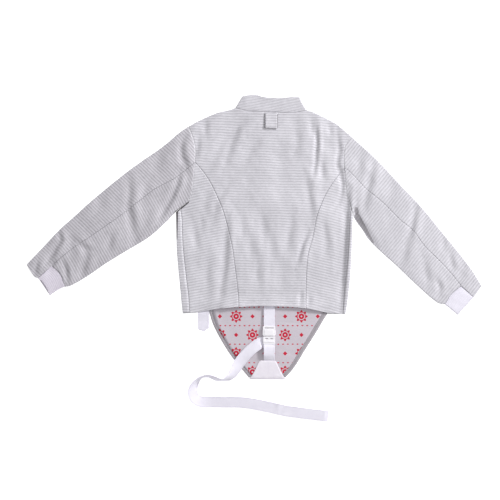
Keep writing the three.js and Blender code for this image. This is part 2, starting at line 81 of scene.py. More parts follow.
half_floor = 4
floor_drop = -0.3 * MM
floor_mesh = bpy.data.meshes.new("floor")
floor_mesh.from_pydata(
    [(x, y, floor_drop) for x, y in ((-half_floor, -half_floor), (half_floor, -half_floor),
                                     (half_floor, half_floor), (-half_floor, half_floor))],
    [], [(0, 1, 2, 3)])
floor = bpy.data.objects.new("floor", floor_mesh)
scene.collection.objects.link(floor)
floor_paint, tree, surface = new_material("white_floor", Base_Color=linear("#FAFAFA"), Roughness=0.9)
surface.inputs["Emission Color"].default_value = (1, 1, 1, 1)
surface.inputs["Emission Strength"].default_value = 0.6
floor_mesh.materials.append(floor_paint)

world = bpy.data.worlds.new("white_room")
world.use_nodes = True
world.node_tree.nodes["Background"].inputs["Color"].default_value = (1, 1, 1, 1)
world.node_tree.nodes["Background"].inputs["Strength"].default_value = 0.44
scene.world = world


def add_light(name, place, aim, size, watts):
    """A square softbox that faces the place it is aimed at."""
    data = bpy.data.lights.new(name, "AREA")
    data.size = size
    data.energy = watts
    light = bpy.data.objects.new(name, data)
    light.location = place
    scene.collection.objects.link(light)
    direction = np.array(aim, float) - np.array(place, float)
    yaw = math.atan2(direction[1], direction[0])
    tilt = math.acos(-direction[2] / np.linalg.norm(direction))
    light.rotation_euler = (0, -tilt, yaw)


add_light("key", (3.4, 2.6, 2.2), (0, -0.1, 0), 0.9, 225)
add_light("overhead", (0.3, 0.0, 2.6), (0, -0.1, 0), 2.2, 15)


# The upper layer: the back's three panels, cut from ribbed conducting cloth with its ribs across the
# back, and joined by princess seams. The panels lie slack over the front, in soft upright creases.
Edge = namedtuple("Edge", "seam hem")
cloth_thick = 1.0
layer_top = 6.4
cell = 4.0

# How each cut edge lies: a seam draws the cloth down in a groove, a hem is flattened by its stitches
SEAM = Edge(seam=0.7, hem=0)
FLAT_SEAM = Edge(seam=0.4, hem=0)
HEM = Edge(seam=0, hem=0.7)
PLAIN = Edge(seam=0, hem=0)
seam_reach = 1.2
seam_gap = 0.7
hem_turn = 10.4

# Creases: a bent line down the cloth, half its width, its rise and the share of a ridge beside it. The
# ridge's height, place and breadth are multiples of the trough's own.
Crease = namedtuple("Crease", "places wide rise lean")
ridge_height, ridge_place, ridge_breadth = 0.75, 1.7, 1.25
back_creases = [
    Crease([(-43, 254), (-89, 224), (-108, 176), (-122, 135), (-127, 108)], 10.3, -2.1, 0.6),
    Crease([(-176, 246), (-178, 197)], 8.05, -1.3, 0.5),
    Crease([(-194, 200), (-204, 135)], 6.9, -1.3, 0.8),
    Crease([(-211, -32), (-206, -70), (-200, -112)], 9.2, -1.3, 0.6),
    Crease([(-189, -14), (-186, -62)], 6.9, -0.99, 0.6),
    Crease([(-120, -20), (-122, -81), (-127, -149), (-138, -238), (-144, -262)], 9.2, -2.6, 0.9),
    Crease([(-76, -28), (-78, -72)], 10.3, -1.3, 0.6),
    Crease([(-57, -78), (-50, -135)], 11.5, -1.3, 0.6),
    Crease([(-38, -130), (-35, -222)], 11.5, -1.5, 0.6),
    Crease([(-24, -10), (-16, -84)], 10.3, -1.3, 0.6),
    Crease([(0, -38), (1, -140)], 10.3, -0.99, 0.6),
    Crease([(57, -8), (50, -60), (39, -106)], 11.5, -1.8, 0.7),
    Crease([(100, -59), (86, -89), (76, -122), (70, -144)], 6.9, -2.4, 1.0),
    Crease([(81, -212), (78, -255)], 6.9, -1.5, 0.7),
    Crease([(103, -226), (100, -258)], 6.9, -1.3, 0.7),
    Crease([(108, 250), (113, 200)], 8.05, -1.7, 0.6),
    Crease([(122, 238), (123, 176), (119, 122), (114, 90)], 5.6, -2.8, 0.9),
    Crease([(134, 140), (141, 76)], 9.2, -1.8, 0.6),
    Crease([(157, 232), (160, 200)], 6.9, -1.3, 0.6),
    Crease([(177, 220), (184, 162), (178, 122), (186, 100), (192, 68), (189, 32), (172, 6)], 6.2, -2.0, 0.7),
    Crease([(93, 95), (100, 54), (111, -24)], 10.3, -2, 0.8),
    Crease([(30, 200), (26, 150), (34, 90)], 18.4, -1.1, 0.5),
    Crease([(-60, 130), (-66, 60), (-60, 10)], 17.2, -0.99, 0.5),
    Crease([(150, -60), (156, -130), (150, -210)], 13.8, -1.3, 0.7),
    Crease([(184, -70), (182, -130), (176, -200)], 9.2, -1.2, 0.7),
    Crease([(-170, 60), (-178, 20), (-172, -30)], 11.5, -0.99, 0.6),
    Crease([(-166, -120), (-172, -180), (-170, -235)], 10.3, -1.2, 0.6),
    Crease([(20, -130), (30, -190), (26, -240)], 13.8, -0.99, 0.5),
    Crease([(206, 62), (203, -5), (200, -60), (196, -135), (190, -216), (185, -275)], 8, -3.6, 1.45),
    Crease([(190, 40), (186, -40), (182, -120), (178, -200), (174, -260)], 17, -1.9, 0),
    Crease([(-60, 262), (-100, 222), (-140, 168), (-168, 110)], 12, -1.7, 0.6),
    Crease([(-20, 212), (-56, 160), (-88, 104)], 12, -1.2, 0.5),
    Crease([(66, 236), (72, 190), (60, 140)], 11, -1.3, 0.5),
    Crease([(-118, 66), (-148, 16), (-158, -34)], 10, -1.5, 0.6),
    Crease([(140, -20), (148, -84), (140, -140)], 9, -1.5, 0.7),
]
left_sleeve_creases = [
    Crease([(-219, 216), (-238, 189), (-243, 170), (-240, 143), (-230, 118), (-226, 84)], 9.2, -2.6, 0.8),
    Crease([(-243, 106), (-254, 68), (-270, 32), (-284, 8), (-302, -28)], 8.05, -3.3, 1.0),
    Crease([(-324, 84), (-340, 52), (-356, 22)], 11.5, -1.8, 0.6),
    Crease([(-386, 92), (-381, 54), (-386, 5), (-375, -49), (-368, -82)], 11.5, -3.1, 0.9),
    Crease([(-425, -62), (-441, -104)], 9.2, -1.8, 0.7),
    Crease([(-508, -90), (-497, -124), (-505, -151), (-514, -188)], 10.3, -2.5, 0.8),
    Crease([(-575, -54), (-567, -81), (-581, -103), (-604, -144)], 7.4, -3.2, 0.9),
    Crease([(-562, -132), (-552, -164), (-548, -196)], 6.5, -2.4, 0.6),
    Crease([(-580, -136), (-600, -162)], 6, -2.4, 0.6),
    Crease([(-532, -80), (-502, -103), (-478, -112)], 8.5, -1.9, 0.5),
    Crease([(-627, -134), (-638, -174)], 6.9, -2.1, 0.7),
    Crease([(-290, 160), (-306, 120), (-318, 96)], 13.8, -1.3, 0.6),
    Crease([(-452, 42), (-466, 4), (-486, -30)], 13.8, -1.3, 0.6),
    Crease([(-330, -20), (-352, -52), (-372, -96)], 11.5, -1.5, 0.6),
    Crease([(-540, -60), (-536, -104), (-548, -160)], 12.6, -1.3, 0.6),
]
right_sleeve_creases = [
    Crease([(278, 146), (265, 81), (251, 14), (245, -12)], 10.3, -2.5, 0.8),
    Crease([(393, 26), (381, -32), (376, -54), (358, -90)], 9.2, -3, 0.9),
    Crease([(376, -78), (346, -144)], 11.5, -2.3, 0.8),
    Crease([(467, -72), (461, -106)], 8.05, -1.5, 0.7),
    Crease([(482, -118), (490, -160)], 8.05, -1.7, 0.7),
    Crease([(412, -136), (422, -200)], 10.3, -1.8, 0.7),
    Crease([(445, -180), (457, -220)], 6.9, -1.5, 0.7),
    Crease([(460, -194), (446, -232)], 6.9, -1.5, 0.7),
    Crease([(242, 150), (236, 110), (226, 80)], 11.5, -1.5, 0.6),
    Crease([(330, 84), (322, 40), (306, 0)], 14.9, -1.3, 0.6),
    Crease([(520, -136), (512, -176), (498, -208)], 10.3, -1.3, 0.6),
    Crease([(229, 22), (231, -10), (238, -32), (253, -50), (268, -74), (284, -98)], 7.5, -3.4, 0),
    Crease([(222, 4), (225, -24), (247, -54), (264, -80), (286, -103)], 5.5, -2.8, 0),
]
all_creases = back_creases + left_sleeve_creases + right_sleeve_creases

# The hem stands up a little over the bib, most of all where the crotch strap comes out from under it
strap_rise = Crease([(-5, -225), (-5, -285)], 26, 2.0, 0)
bib_rise = 6.6
bib_middle, bib_half, bib_fade = -8, 140, 12
lift_start, lift_length = -225, 35


def crease_relief(x, y, crease):
    """The rise of one crease over the cloth, fading out towards its two ends."""
    places = np.array(crease.places, float)
    spans = np.diff(places, axis=0)
    lengths = np.hypot(spans[:, 0], spans[:, 1])
    starts = np.concatenate([[0], np.cumsum(lengths)])
    nearest = np.full(x.shape, 1e9)
    signed = np.zeros(x.shape)
    travelled = np.zeros(x.shape)
    for number, (start, span, length) in enumerate(zip(places, spans, lengths)):
        ox, oy = x - start[0], y - start[1]
        along = np.clip((ox * span[0] + oy * span[1]) / length ** 2, 0, 1)
        away = np.hypot(ox - along * span[0], oy - along * span[1])
        side = np.sign(span[0] * oy - span[1] * ox)
        closer = away < nearest
        nearest = np.where(closer, away, nearest)
        signed = np.where(closer, away * side, signed)
        travelled = np.where(closer, starts[number] + along * length, travelled)
    share = travelled / starts[-1]
    fade = np.clip(np.sin(np.pi * np.clip(share, 0.04, 0.96)), 0, 1) ** 0.6
    trough = np.exp(-(signed / crease.wide) ** 2)
    beside = (signed - ridge_place * crease.wide) / (ridge_breadth * crease.wide)
    ridge = ridge_height * crease.lean * np.exp(-beside ** 2)
    return crease.rise * fade * (trough - ridge)


# Slack in the cloth between the creases: long swells and a fine cockle, in mm
Swell = namedtuple("Swell", "length turn height phase")
swells = [
    Swell(151, 0.3, 0.60, 0.4), Swell(97, 1.2, 0.40, 2.1), Swell(73, -0.4, 0.36, 4.0),
    Swell(58, 0.1, 0.26, 1.3), Swell(41, 0.8, 0.12, 5.2), Swell(33, -0.5, 0.11, 3.3),
    Swell(23, 0.35, 0.06, 0.9), Swell(17, -0.2, 0.035, 2.7), Swell(13, 1.0, 0.02, 1.9),
]


def slack(x, y):
    """The uneven lie of loose cloth, from a few crossing swells."""
    total = np.zeros_like(x)
    for swell in swells:
        turn = swell.turn + 0.25 * np.sin(y / 140 + swell.phase)
        wave = (x * np.cos(turn) + y * np.sin(turn)) * 2 * np.pi / swell.length
        drift = 1.3 * np.sin(y / 61 + 2 * swell.phase) + 0.9 * np.sin(x / 83 - swell.phase)
        total += swell.height * np.sin(wave + swell.phase + drift)
    return total


# One factor deepens all creases, and none takes the cloth down to the front that lies under it
crease_depth = 1.35
lowest_top = 3.0
soft_bottom = 0.45


def upper_layer(x, y):
    """The height of the upper layer's outer face over the floor."""
    height = layer_top + slack(x, y)
    for crease in all_creases:
        height = height + crease_depth * crease_relief(x, y, crease)
    height = lowest_top + soft_bottom * np.logaddexp(0, (height - lowest_top) / soft_bottom)
    height = height + crease_relief(x, y, strap_rise)
    over_bib = 1 / (1 + np.exp((np.abs(x - bib_middle) - bib_half) / bib_fade))
    return height + bib_rise * over_bib * np.clip((lift_start - y) / lift_length, 0, 1) ** 1.5


def smooth_rows(values, steps):
    """Values on a smooth line through a few rows of numbers, with equal steps between each two."""
    p = np.array(values, float)
    ends = np.vstack([2 * p[0] - p[1], p, 2 * p[-1] - p[-2]])
    t = np.linspace(0, 1, steps, endpoint=False)[:, None]
    rows = [0.5 * (2 * b + (c - a) * t + (2 * a - 5 * b + 4 * c - d) * t ** 2
                   + (3 * b - a - 3 * c + d) * t ** 3)
            for a, b, c, d in zip(ends[:-3], ends[1:-2], ends[2:-1], ends[3:])]
    return np.vstack([*rows, p[-1:]])


def smooth_line(places):
    """A close row of places on a smooth line through a few, or straight between two."""
    if len(places) > 2:
        return smooth_rows(places, 30)
    first, last = np.array(places, float)
    return first + np.linspace(0, 1, 60)[:, None] * (last - first)


def joined(*lines):
    """Lines laid end to end."""
    return np.vstack([lines[0], *[line[1:] for line in lines[1:]]])


def length_of(line):
    """The length of a row of places."""
    return float(np.hypot(*np.diff(line, axis=0).T).sum())


def cut_at(line, shares):
    """Places at the given shares of a line's length."""
    steps = np.concatenate([[0], np.cumsum(np.hypot(*np.diff(line, axis=0).T))])
    return np.stack([np.interp(shares * steps[-1], steps, line[:, i]) for i in (0, 1)], axis=1)


edge_steps = np.array([0, 0.7, 1.5, 2.6, 4.2, 6.4])


def shares_along(length, step=cell):
    """Shares of a length, close together at both ends where the cloth turns into its seams."""
    inner = np.linspace(edge_steps[-1] + step, length - edge_steps[-1] - step,
                        max(int((length - 2 * edge_steps[-1]) / step) - 1, 2))
    return np.concatenate([edge_steps, inner, length - edge_steps[::-1]]) / length


def drawn_in(grid, edges):
    """Moves the sewn edges of a grid in by half the seam's width."""
    lines = [(grid[:, 0], grid[:, 1]), (grid[:, -1], grid[:, -2]), (grid[0], grid[1]), (grid[-1], grid[-2])]
    for edge, (border, inside) in zip(edges, lines):
        if edge.seam:
            inward = inside - border
            reach = np.maximum(np.linalg.norm(inward, axis=-1, keepdims=True), 1e-6)
            border += inward / reach * np.minimum(seam_gap / 2, reach * 0.8)
    return grid


def stretched(first, last, near, far, rows, columns):
    """A grid of places between four edges: rows run from near to far, columns from first to last."""
    a, b = cut_at(first, rows)[:, None], cut_at(last, rows)[:, None]
    c, d = cut_at(near, columns)[None], cut_at(far, columns)[None]
    v, u = rows[:, None, None], columns[None, :, None]
    bow = (1 - v) * c + v * d + (1 - u) * a + u * b
    return bow - ((1 - v) * ((1 - u) * near[0] + u * near[-1]) + v * ((1 - u) * far[0] + u * far[-1]))


def edge_drop(grid, edges):
    """How far the cloth is drawn down along its four edges: first, last, near and far."""
    drop = np.zeros(grid.shape[:2])
    borders = [grid[:, :1], grid[:, -1:], grid[:1], grid[-1:]]
    for edge, border in zip(edges, borders):
        away = np.hypot(*np.moveaxis(grid - border, 2, 0))
        drop = np.maximum(drop, edge.seam * np.exp(-(away / seam_reach) ** 2))
        drop = np.maximum(drop, edge.hem * np.exp(-((away - hem_turn) / 1.8) ** 2))
    return drop


def ribs(x, y, z, normal_degrees):
    """Places along and across the ribs, in metres, bent a little where the cloth rises."""
    turn = np.radians(normal_degrees)
    across = x * np.cos(turn) - y * np.sin(turn) + 0.55 * z
    along = x * np.sin(turn) + y * np.cos(turn)
    return np.stack([along * MM, across * MM], axis=-1)


def add_cloth(name, outer, inner, places, material, looped=False):
    """A closed shell between two equal grids in mm, with its own map for weave and print."""
    rows, columns = outer.shape[:2]
    points = np.concatenate([outer.reshape(-1, 3), inner.reshape(-1, 3)]) * MM
    half = rows * columns
    index = np.arange(half).reshape(rows, columns)
    if looped:
        index = np.concatenate([index, index[:, :1]], axis=1)
    a, b, c, d = index[:-1, :-1], index[:-1, 1:], index[1:, 1:], index[1:, :-1]
    top = np.stack([a, b, c, d], axis=-1).reshape(-1, 4)
    under = top[:, ::-1] + half
    rims = [index[0][::-1], index[-1]]
    if not looped:
        rims += [index[:, 0], index[::-1, -1]]
    rim = np.concatenate([
        np.stack([line[:-1], line[1:], line[1:] + half, line[:-1] + half], axis=-1) for line in rims])
    faces = np.concatenate([top, under, rim])
    corners = points[faces]
    centre = points.mean(axis=0)
    volume = sum(
        np.einsum("ij,ij->i", corners[:, 0] - centre,
                  np.cross(corners[:, k] - centre, corners[:, k + 1] - centre)).sum() for k in (1, 2))
    if volume < 0:
        faces = faces[:, ::-1]
    mesh = bpy.data.meshes.new(name)
    mesh.from_pydata(points.tolist(), [], faces.tolist())
    layer = mesh.uv_layers.new(name="weave")
    corner_points = np.empty(len(mesh.loops), dtype=np.int32)
    mesh.loops.foreach_get("vertex_index", corner_points)
    flat_places = places.reshape(-1, 2)
    layer.data.foreach_set("uv", flat_places[corner_points % half].ravel())
    smooth = np.ones(len(faces), dtype=bool)
    smooth[len(top) + len(under):] = False
    mesh.polygons.foreach_set("use_smooth", smooth)
    mesh.materials.append(material)
    piece = bpy.data.objects.new(name, mesh)
    scene.collection.objects.link(piece)
    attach(piece, "root")
    return piece


# Sewing thread, collected as lines in mm while the pieces are made, and sewn at the end
grey_thread = []
white_thread = []
tab_edge_shade_lines = []
seam_stitch = 4
hem_stitch = 6


def upper_part(line):
    """The part of a line round a tube that lies on its upper side."""
    below = np.flatnonzero(line[:, 2] < 3)
    return line[:below[0]] if len(below) else line


def declare_sheet(node):
    """Hides the imported part that a piece of cloth stands for."""
    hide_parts(node)


# The lame cloth is a polyester weave with fine steel threads: light grey, faintly violet, with a dull
# metallic sheen. Its ribs are some 2.4 mm apart. Three of them are drawn as one stripe, 7.2 mm apart,
# which is the spacing that shows at a step away.
rib_spacing = 7.2 * MM
shadow_blur = 0.9 * MM
MATH, VECTOR, NOISE = "ShaderNodeMath", "ShaderNodeVectorMath", "ShaderNodeTexNoise"


def add_node(tree, kind, inputs=None, **settings):
    """Adds a node with its settings; an input is a value, a socket to link or a node's first output."""
    node = tree.nodes.new(kind)
    for name, value in settings.items():
        setattr(node, name, value)
    for key, value in (inputs or {}).items():
        if isinstance(value, bpy.types.Node):
            value = value.outputs[0]
        if isinstance(value, bpy.types.NodeSocket):
            tree.links.new(value, node.inputs[key])
        else:
            node.inputs[key].default_value = value
    return node


def finish_surface(tree, surface, colour, relief, depth, strength=0.5):
    """Joins a colour and a relief to the shader."""
    bump = add_node(tree, "ShaderNodeBump", {"Height": relief, "Strength": strength, "Distance": depth})
    tree.links.new(bump.outputs["Normal"], surface.inputs["Normal"])
    tree.links.new(colour, surface.inputs["Base Color"])


def lame_cloth(name, light, dark, stripe, cutouts_and_shadows=()):
    """Ribbed conducting cloth in one shade, with bands of painted shadow along the underarms."""
    material, tree, surface = new_material(name, Roughness=0.52, Metallic=0.12, Sheen_Weight=0.15,
                                           Specular_IOR_Level=0.35)
    # Threads are 5 mm long and 0.7 mm apart, slubs 9 by 3 mm and cloudy places 110 mm across. The ribs
    # drift over 38 mm.
    place = add_node(tree, "ShaderNodeUVMap", uv_map="weave")
    parts = add_node(tree, "ShaderNodeSeparateXYZ", {"Vector": place})
    drift = add_node(tree, NOISE, {"Vector": place, "Scale": 26, "Detail": 2})
    drift = add_node(tree, MATH, {0: drift, 1: 0.5}, operation="SUBTRACT")
    across = add_node(tree, MATH, {0: drift, 1: 1.6 * MM, 2: parts.outputs["Y"]}, operation="MULTIPLY_ADD")
    waves = []
    for count in (1, 3):
        turn = add_node(tree, MATH, {0: across, 1: count * 2 * math.pi / rib_spacing}, operation="MULTIPLY")
        waves.append(add_node(tree, MATH, {0: turn}, operation="SINE"))
    stripe_wave, rib_wave = waves
    lit = add_node(tree, MATH, {0: stripe_wave, 1: 0.5, 2: 0.5}, operation="MULTIPLY_ADD")
    lit = add_node(tree, MATH, {0: lit, 1: 0.6}, operation="POWER")
    thread_place = add_node(tree, "ShaderNodeMapping", {"Vector": place, "Scale": (210, 1500, 1)})
    threads = add_node(tree, NOISE, {"Vector": thread_place, "Scale": 1, "Detail": 3, "Roughness": 0.7})
    slub_place = add_node(tree, "ShaderNodeMapping", {"Vector": place, "Scale": (110, 330, 1)})
    slubs = add_node(tree, NOISE, {"Vector": slub_place, "Scale": 1, "Detail": 2, "Roughness": 0.6})
    cloudy = add_node(tree, NOISE, {"Vector": place, "Scale": 9, "Detail": 3})
    weights = ((lit, stripe), (threads, 0.6), (cloudy, 0.5), (slubs, 0.8))
    shade = 0.5 - sum(weight for _, weight in weights) / 2
    for part, weight in weights:
        shade = add_node(tree, MATH, {0: part, 1: weight, 2: shade}, operation="MULTIPLY_ADD")
    shown = add_node(tree, "ShaderNodeMix", {"Factor": shade, "A": linear(dark), "B": linear(light)},
                     data_type="RGBA").outputs["Result"]
    level = add_node(tree, "ShaderNodeTexCoord").outputs["Object"]
    level = add_node(tree, VECTOR, {0: level, 1: (1, 1, 0)}, operation="MULTIPLY")
    # Bands of painted shadow along the underarms: there the colour is mixed towards a near-black grey.
    for shadow_band in cutouts_and_shadows:
        start = np.array([*shadow_band.start, 0]) * MM
        span = np.array([*shadow_band.end, 0]) * MM - start
        offset = add_node(tree, VECTOR, {0: level, 1: start}, operation="SUBTRACT")
        share = add_node(tree, VECTOR, {0: offset, 1: span / (span @ span)}, operation="DOT_PRODUCT")
        share = add_node(tree, "ShaderNodeClamp", {"Value": share.outputs["Value"]})
        foot = add_node(tree, VECTOR, {0: span, "Scale": share}, operation="SCALE")
        beside = add_node(tree, VECTOR, {0: foot, 1: offset}, operation="DISTANCE").outputs["Value"]
        reach = add_node(tree, "ShaderNodeMapRange", {
            "Value": share, "To Min": shadow_band.wide * MM, "To Max": shadow_band.narrow * MM})
        within = add_node(tree, MATH, {0: reach, 1: beside}, operation="SUBTRACT")
        mask = add_node(tree, "ShaderNodeMapRange", {
            "Value": within, "From Min": -shadow_blur, "From Max": shadow_blur, "To Max": shadow_band.depth})
        shown = add_node(tree, "ShaderNodeMix", {"Factor": mask, "A": shown, "B": linear("#3A3137")},
                         data_type="RGBA").outputs["Result"]
    relief = 0
    for part, weight in ((rib_wave, 0.5), (threads, 1.4), (stripe_wave, 0.6)):
        relief = add_node(tree, MATH, {0: part, 1: weight, 2: relief}, operation="MULTIPLY_ADD")
    finish_surface(tree, surface, shown, relief, 0.22 * MM)
    return material


# Painted shadow along the underarms, where sleeve and body meet: the cloth's colour is darkened there in
# a narrow line at the left and a tapering band at the right.
UnderarmShadow = namedtuple("UnderarmShadow", "start end wide narrow depth")
left_underarm_shadow = [
    UnderarmShadow((-257.5, -6), (-222, 21), 2.9, 1.3, 0.95),
    UnderarmShadow((-253.6, -2), (-253.6, -78), 3.2, 1.0, 0.95),
]
right_underarm_shadow = [
    UnderarmShadow((229.5, 3), (231.2, -7), 5.0, 5.6, 0.55),
    UnderarmShadow((232.6, -18), (275, -87), 8.0, 2.6, 0.55),
]
body_cloth = lame_cloth("lame_cloth_body", "#DEDCE3", "#AFADB4", 0.6, left_underarm_shadow)
# The turned edge is the body's cloth, in darker colours: painted shade.
turned_edge_shaded_cloth = lame_cloth("lame_cloth_turned_edge_painted_shade", "#B7B1B7", "#8E888F", 0.4)
collar_cloth = lame_cloth("lame_cloth_collar", "#DEDCE3", "#AFADB4", 0.4)
# The left sleeve's colours are darker than the body's: painted shade, as that side lies further from the
# light.
left_sleeve_shaded_cloth = lame_cloth("lame_cloth_left_sleeve_painted_shade", "#D5D2D9", "#9F9CA3", 0.65, left_underarm_shadow[:1])
right_cloth = lame_cloth("lame_cloth_right_sleeve", "#DEDCE3", "#AFADB4", 0.6, right_underarm_shadow)

neck = smooth_line([(-96, 275), (-70, 268), (-43, 266), (0, 265), (38, 262), (65, 263), (97, 269)])
left_shoulder = smooth_line([(-223, 225), (-192, 242), (-148, 261), (-116, 269), (-96, 275)])
right_shoulder = smooth_line([(97, 269), (119, 262), (167, 238), (186, 225), (216, 200)])
hem_centre = smooth_line([(-87, -261), (-22, -259), (51, -261), (94, -265)])
hem_left = smooth_line([(-219, -277), (-200, -276), (-148, -267), (-87, -261)])
hem_right = smooth_line([(193, -280), (154, -277), (124, -271), (94, -265)])

# One half of the body: its seams, its outline, and the front's edge in the crook of the arm
Half = namedtuple("Half", "princess side outline crook slit armhole_upper armhole_lower")
left_body = Half(
    princess=smooth_line([(-87, -261), (-89, -221), (-96, -162), (-104, -103), (-116, -49), (-130, 0),
                          (-146, 38), (-165, 76), (-184, 104), (-205, 128)]),
    side=smooth_line([(-219, -277), (-222, -232), (-228, -184), (-235, -119), (-239, -59), (-240, -25),
                      (-243.5, 1.5)]),
    outline=smooth_line([(-238, -279), (-241, -254), (-246, -200), (-250, -160), (-254, -108), (-255, -55),
                         (-256, -5.3)]),
    crook=smooth_line([(-256, -5.3), (-248.5, 1.6), (-240, 8.7), (-223, 21.8)]),
    slit=smooth_line([(-243.5, 1.5), (-233, 10), (-223, 22)]),
    armhole_upper=smooth_line([(-205, 128), (-204, 162), (-211, 194), (-223, 225)]),
    armhole_lower=smooth_line([(-205, 128), (-209, 90), (-213, 51), (-223, 22)]),
)
right_body = Half(
    princess=smooth_line([(94, -265), (94, -216), (96, -162), (101, -116), (113, -73), (123, -19), (138, 22),
                          (154, 54), (176, 86), (198, 113)]),
    side=smooth_line([(193, -280), (198, -216), (205, -151), (209, -94), (212, -32), (214, -12), (216, 4)]),
    outline=smooth_line([(201, -281), (206, -252), (211, -209), (215, -168), (217.5, -120), (219.5, -60),
                         (221, -20)]),
    crook=smooth_line([(221, -20), (218, 4.6), (211.8, 21.6)]),
    slit=smooth_line([(216, 4), (212, 22)]),
    armhole_upper=smooth_line([(198, 113), (197, 135), (197, 154), (202, 178), (216, 200)]),
    armhole_lower=smooth_line([(198, 113), (202, 76), (205, 40), (212, 22)]),
)


def upper_panel(name, node, first, last, near, far, edges, normal_degrees):
    """One panel of the back, drawn down at its seams."""
    rows = shares_along(max(length_of(first), length_of(last)))
    columns = shares_along(max(length_of(near), length_of(far)))
    grid = drawn_in(stretched(first, last, near, far, rows, columns), edges)
    x, y = grid[..., 0], grid[..., 1]
    z = upper_layer(x, y) - edge_drop(grid, edges)
    outer = np.stack([x, y, z], axis=-1)
    inner = np.stack([x, y, z - cloth_thick], axis=-1)
    piece = add_cloth(name, outer, inner, ribs(x, y, z, normal_degrees), body_cloth)
    declare_sheet(node)
    grey_thread.append(outer[hem_stitch])
    return outer


centre = upper_panel("centre_back", "back_centre",
                     joined(left_body.princess, left_body.armhole_upper),
                     joined(right_body.princess, right_body.armhole_upper),
                     hem_centre, joined(left_shoulder, neck, right_shoulder),
                     (SEAM, SEAM, HEM, SEAM), 91)
grey_thread += [centre[:, seam_stitch], centre[:, -1 - seam_stitch], centre[-1 - seam_stitch]]


def side_back(name, node, half, hem, normal_degrees):
    """A side panel, narrowing to a point where the princess seam reaches the armhole."""
    climb = joined(half.side, half.slit, half.armhole_lower[::-1])
    tip_share = np.linspace(0, 0.996, 400)
    first, last = cut_at(climb, tip_share), cut_at(half.princess, tip_share)
    tip = smooth_line([first[-1], last[-1]])
    upper_panel(name, node, first, last, hem, tip, (FLAT_SEAM, SEAM, HEM, PLAIN), normal_degrees)


side_back("left_side_back", "back_side_left", left_body, hem_left, 77.7)
side_back("right_side_back", "back_side_right", right_body, hem_right, 103)


# The sleeves are cut in two pieces, a top sleeve and an under sleeve, joined at the elbow. Each lies
# flattened, turned round its outer edge, with one half of it above and one half on the floor.
edge_angles = np.radians([165, 145, 125, 105, 90, 72, 54, 36, 18, 0])
floor_columns = 7
sleeve_fullness = 1.7
edge_radius = 1.7


def half_tube(first, last, near, far, edges, fullness=sleeve_fullness):
    """Outer and inner places of a folded piece, from its upper seam round the last edge to the lower seam."""
    rows = shares_along(max(length_of(first), length_of(last)))
    across = max(length_of(near), length_of(far))
    inner_columns = shares_along(across)
    columns = inner_columns[inner_columns * across < across - edge_radius * 1.2]
    grid = drawn_in(stretched(first, last, near, far, rows, np.append(columns, 1.0)), edges)
    rim, top = grid[:, -1], grid[:, :-1]
    x, y = top[..., 0], top[..., 1]
    share = np.hypot(*np.moveaxis(top - rim[:, None], 2, 0))
    share = share / share[:, :1]
    drop = edge_drop(grid, edges)[:, :-1]
    z_top = upper_layer(x, y) + fullness * np.sin(np.pi * np.clip(share, 0, 1) / 2) ** 0.7 - drop
    outward = rim - top[:, -1]
    distance = np.hypot(outward[:, 0], outward[:, 1])
    outward = outward / distance[:, None]
    rim_height = z_top[:, -1]
    outer = [np.stack([x, y, z_top], axis=-1)]
    inner = [np.stack([x, y, z_top - cloth_thick], axis=-1)]
    arc_outer, arc_inner = [], []
    for angle in edge_angles:
        for store, shrink in ((arc_outer, 0), (arc_inner, cloth_thick)):
            reach = distance * math.sin(angle) if angle > math.pi / 2 else edge_radius * math.sin(angle)
            start = rim - outward * distance[:, None] if angle > math.pi / 2 else rim - outward * edge_radius
            reach = reach - shrink * math.sin(angle)
            z = rim_height / 2 - (rim_height / 2 - shrink) * math.cos(angle)
            place = start + outward * np.broadcast_to(reach, distance.shape)[:, None]
            store.append(np.column_stack([place, z]))
    outer.append(np.stack(arc_outer, axis=1))
    inner.append(np.stack(arc_inner, axis=1))
    floor_shares = np.linspace(0, 1, floor_columns)[1:, None]
    start = rim - outward * edge_radius
    floor_places = start[:, None] + (top[:, 0] - start)[:, None] * floor_shares[None]
    for store, height in ((outer, 0), (inner, cloth_thick)):
        level = np.full(floor_places.shape[:2] + (1,), float(height))
        store.append(np.concatenate([floor_places, level], axis=2))
    outer, inner = np.concatenate(outer, axis=1), np.concatenate(inner, axis=1)
    return outer, inner, grid


def tube_ribs(outer, fold_column, normal_degrees):
    """Weave places for a folded piece: under the fold the plan is turned over, so the ribs run on."""
    x, y = outer[..., 0], outer[..., 1]
    fold = outer[:, fold_column:fold_column + 1]
    below = np.arange(outer.shape[1]) > fold_column
    x = np.where(below, 2 * fold[..., 0] - x, x)
    y = np.where(below, 2 * fold[..., 1] - y, y)
    return ribs(x, y, outer[..., 2], normal_degrees)


def add_sleeve_half(name, node, first, last, near, far, normal_degrees, material, edges):
    """A top or an under sleeve."""
    outer, inner, grid = half_tube(first, last, near, far, edges)
    fold_column = grid.shape[1] - 1 + list(np.degrees(edge_angles).round()).index(90)
    places = tube_ribs(outer, fold_column, normal_degrees)
    piece = add_cloth(name, outer, inner, places, material)
    declare_sheet(node)
    return outer


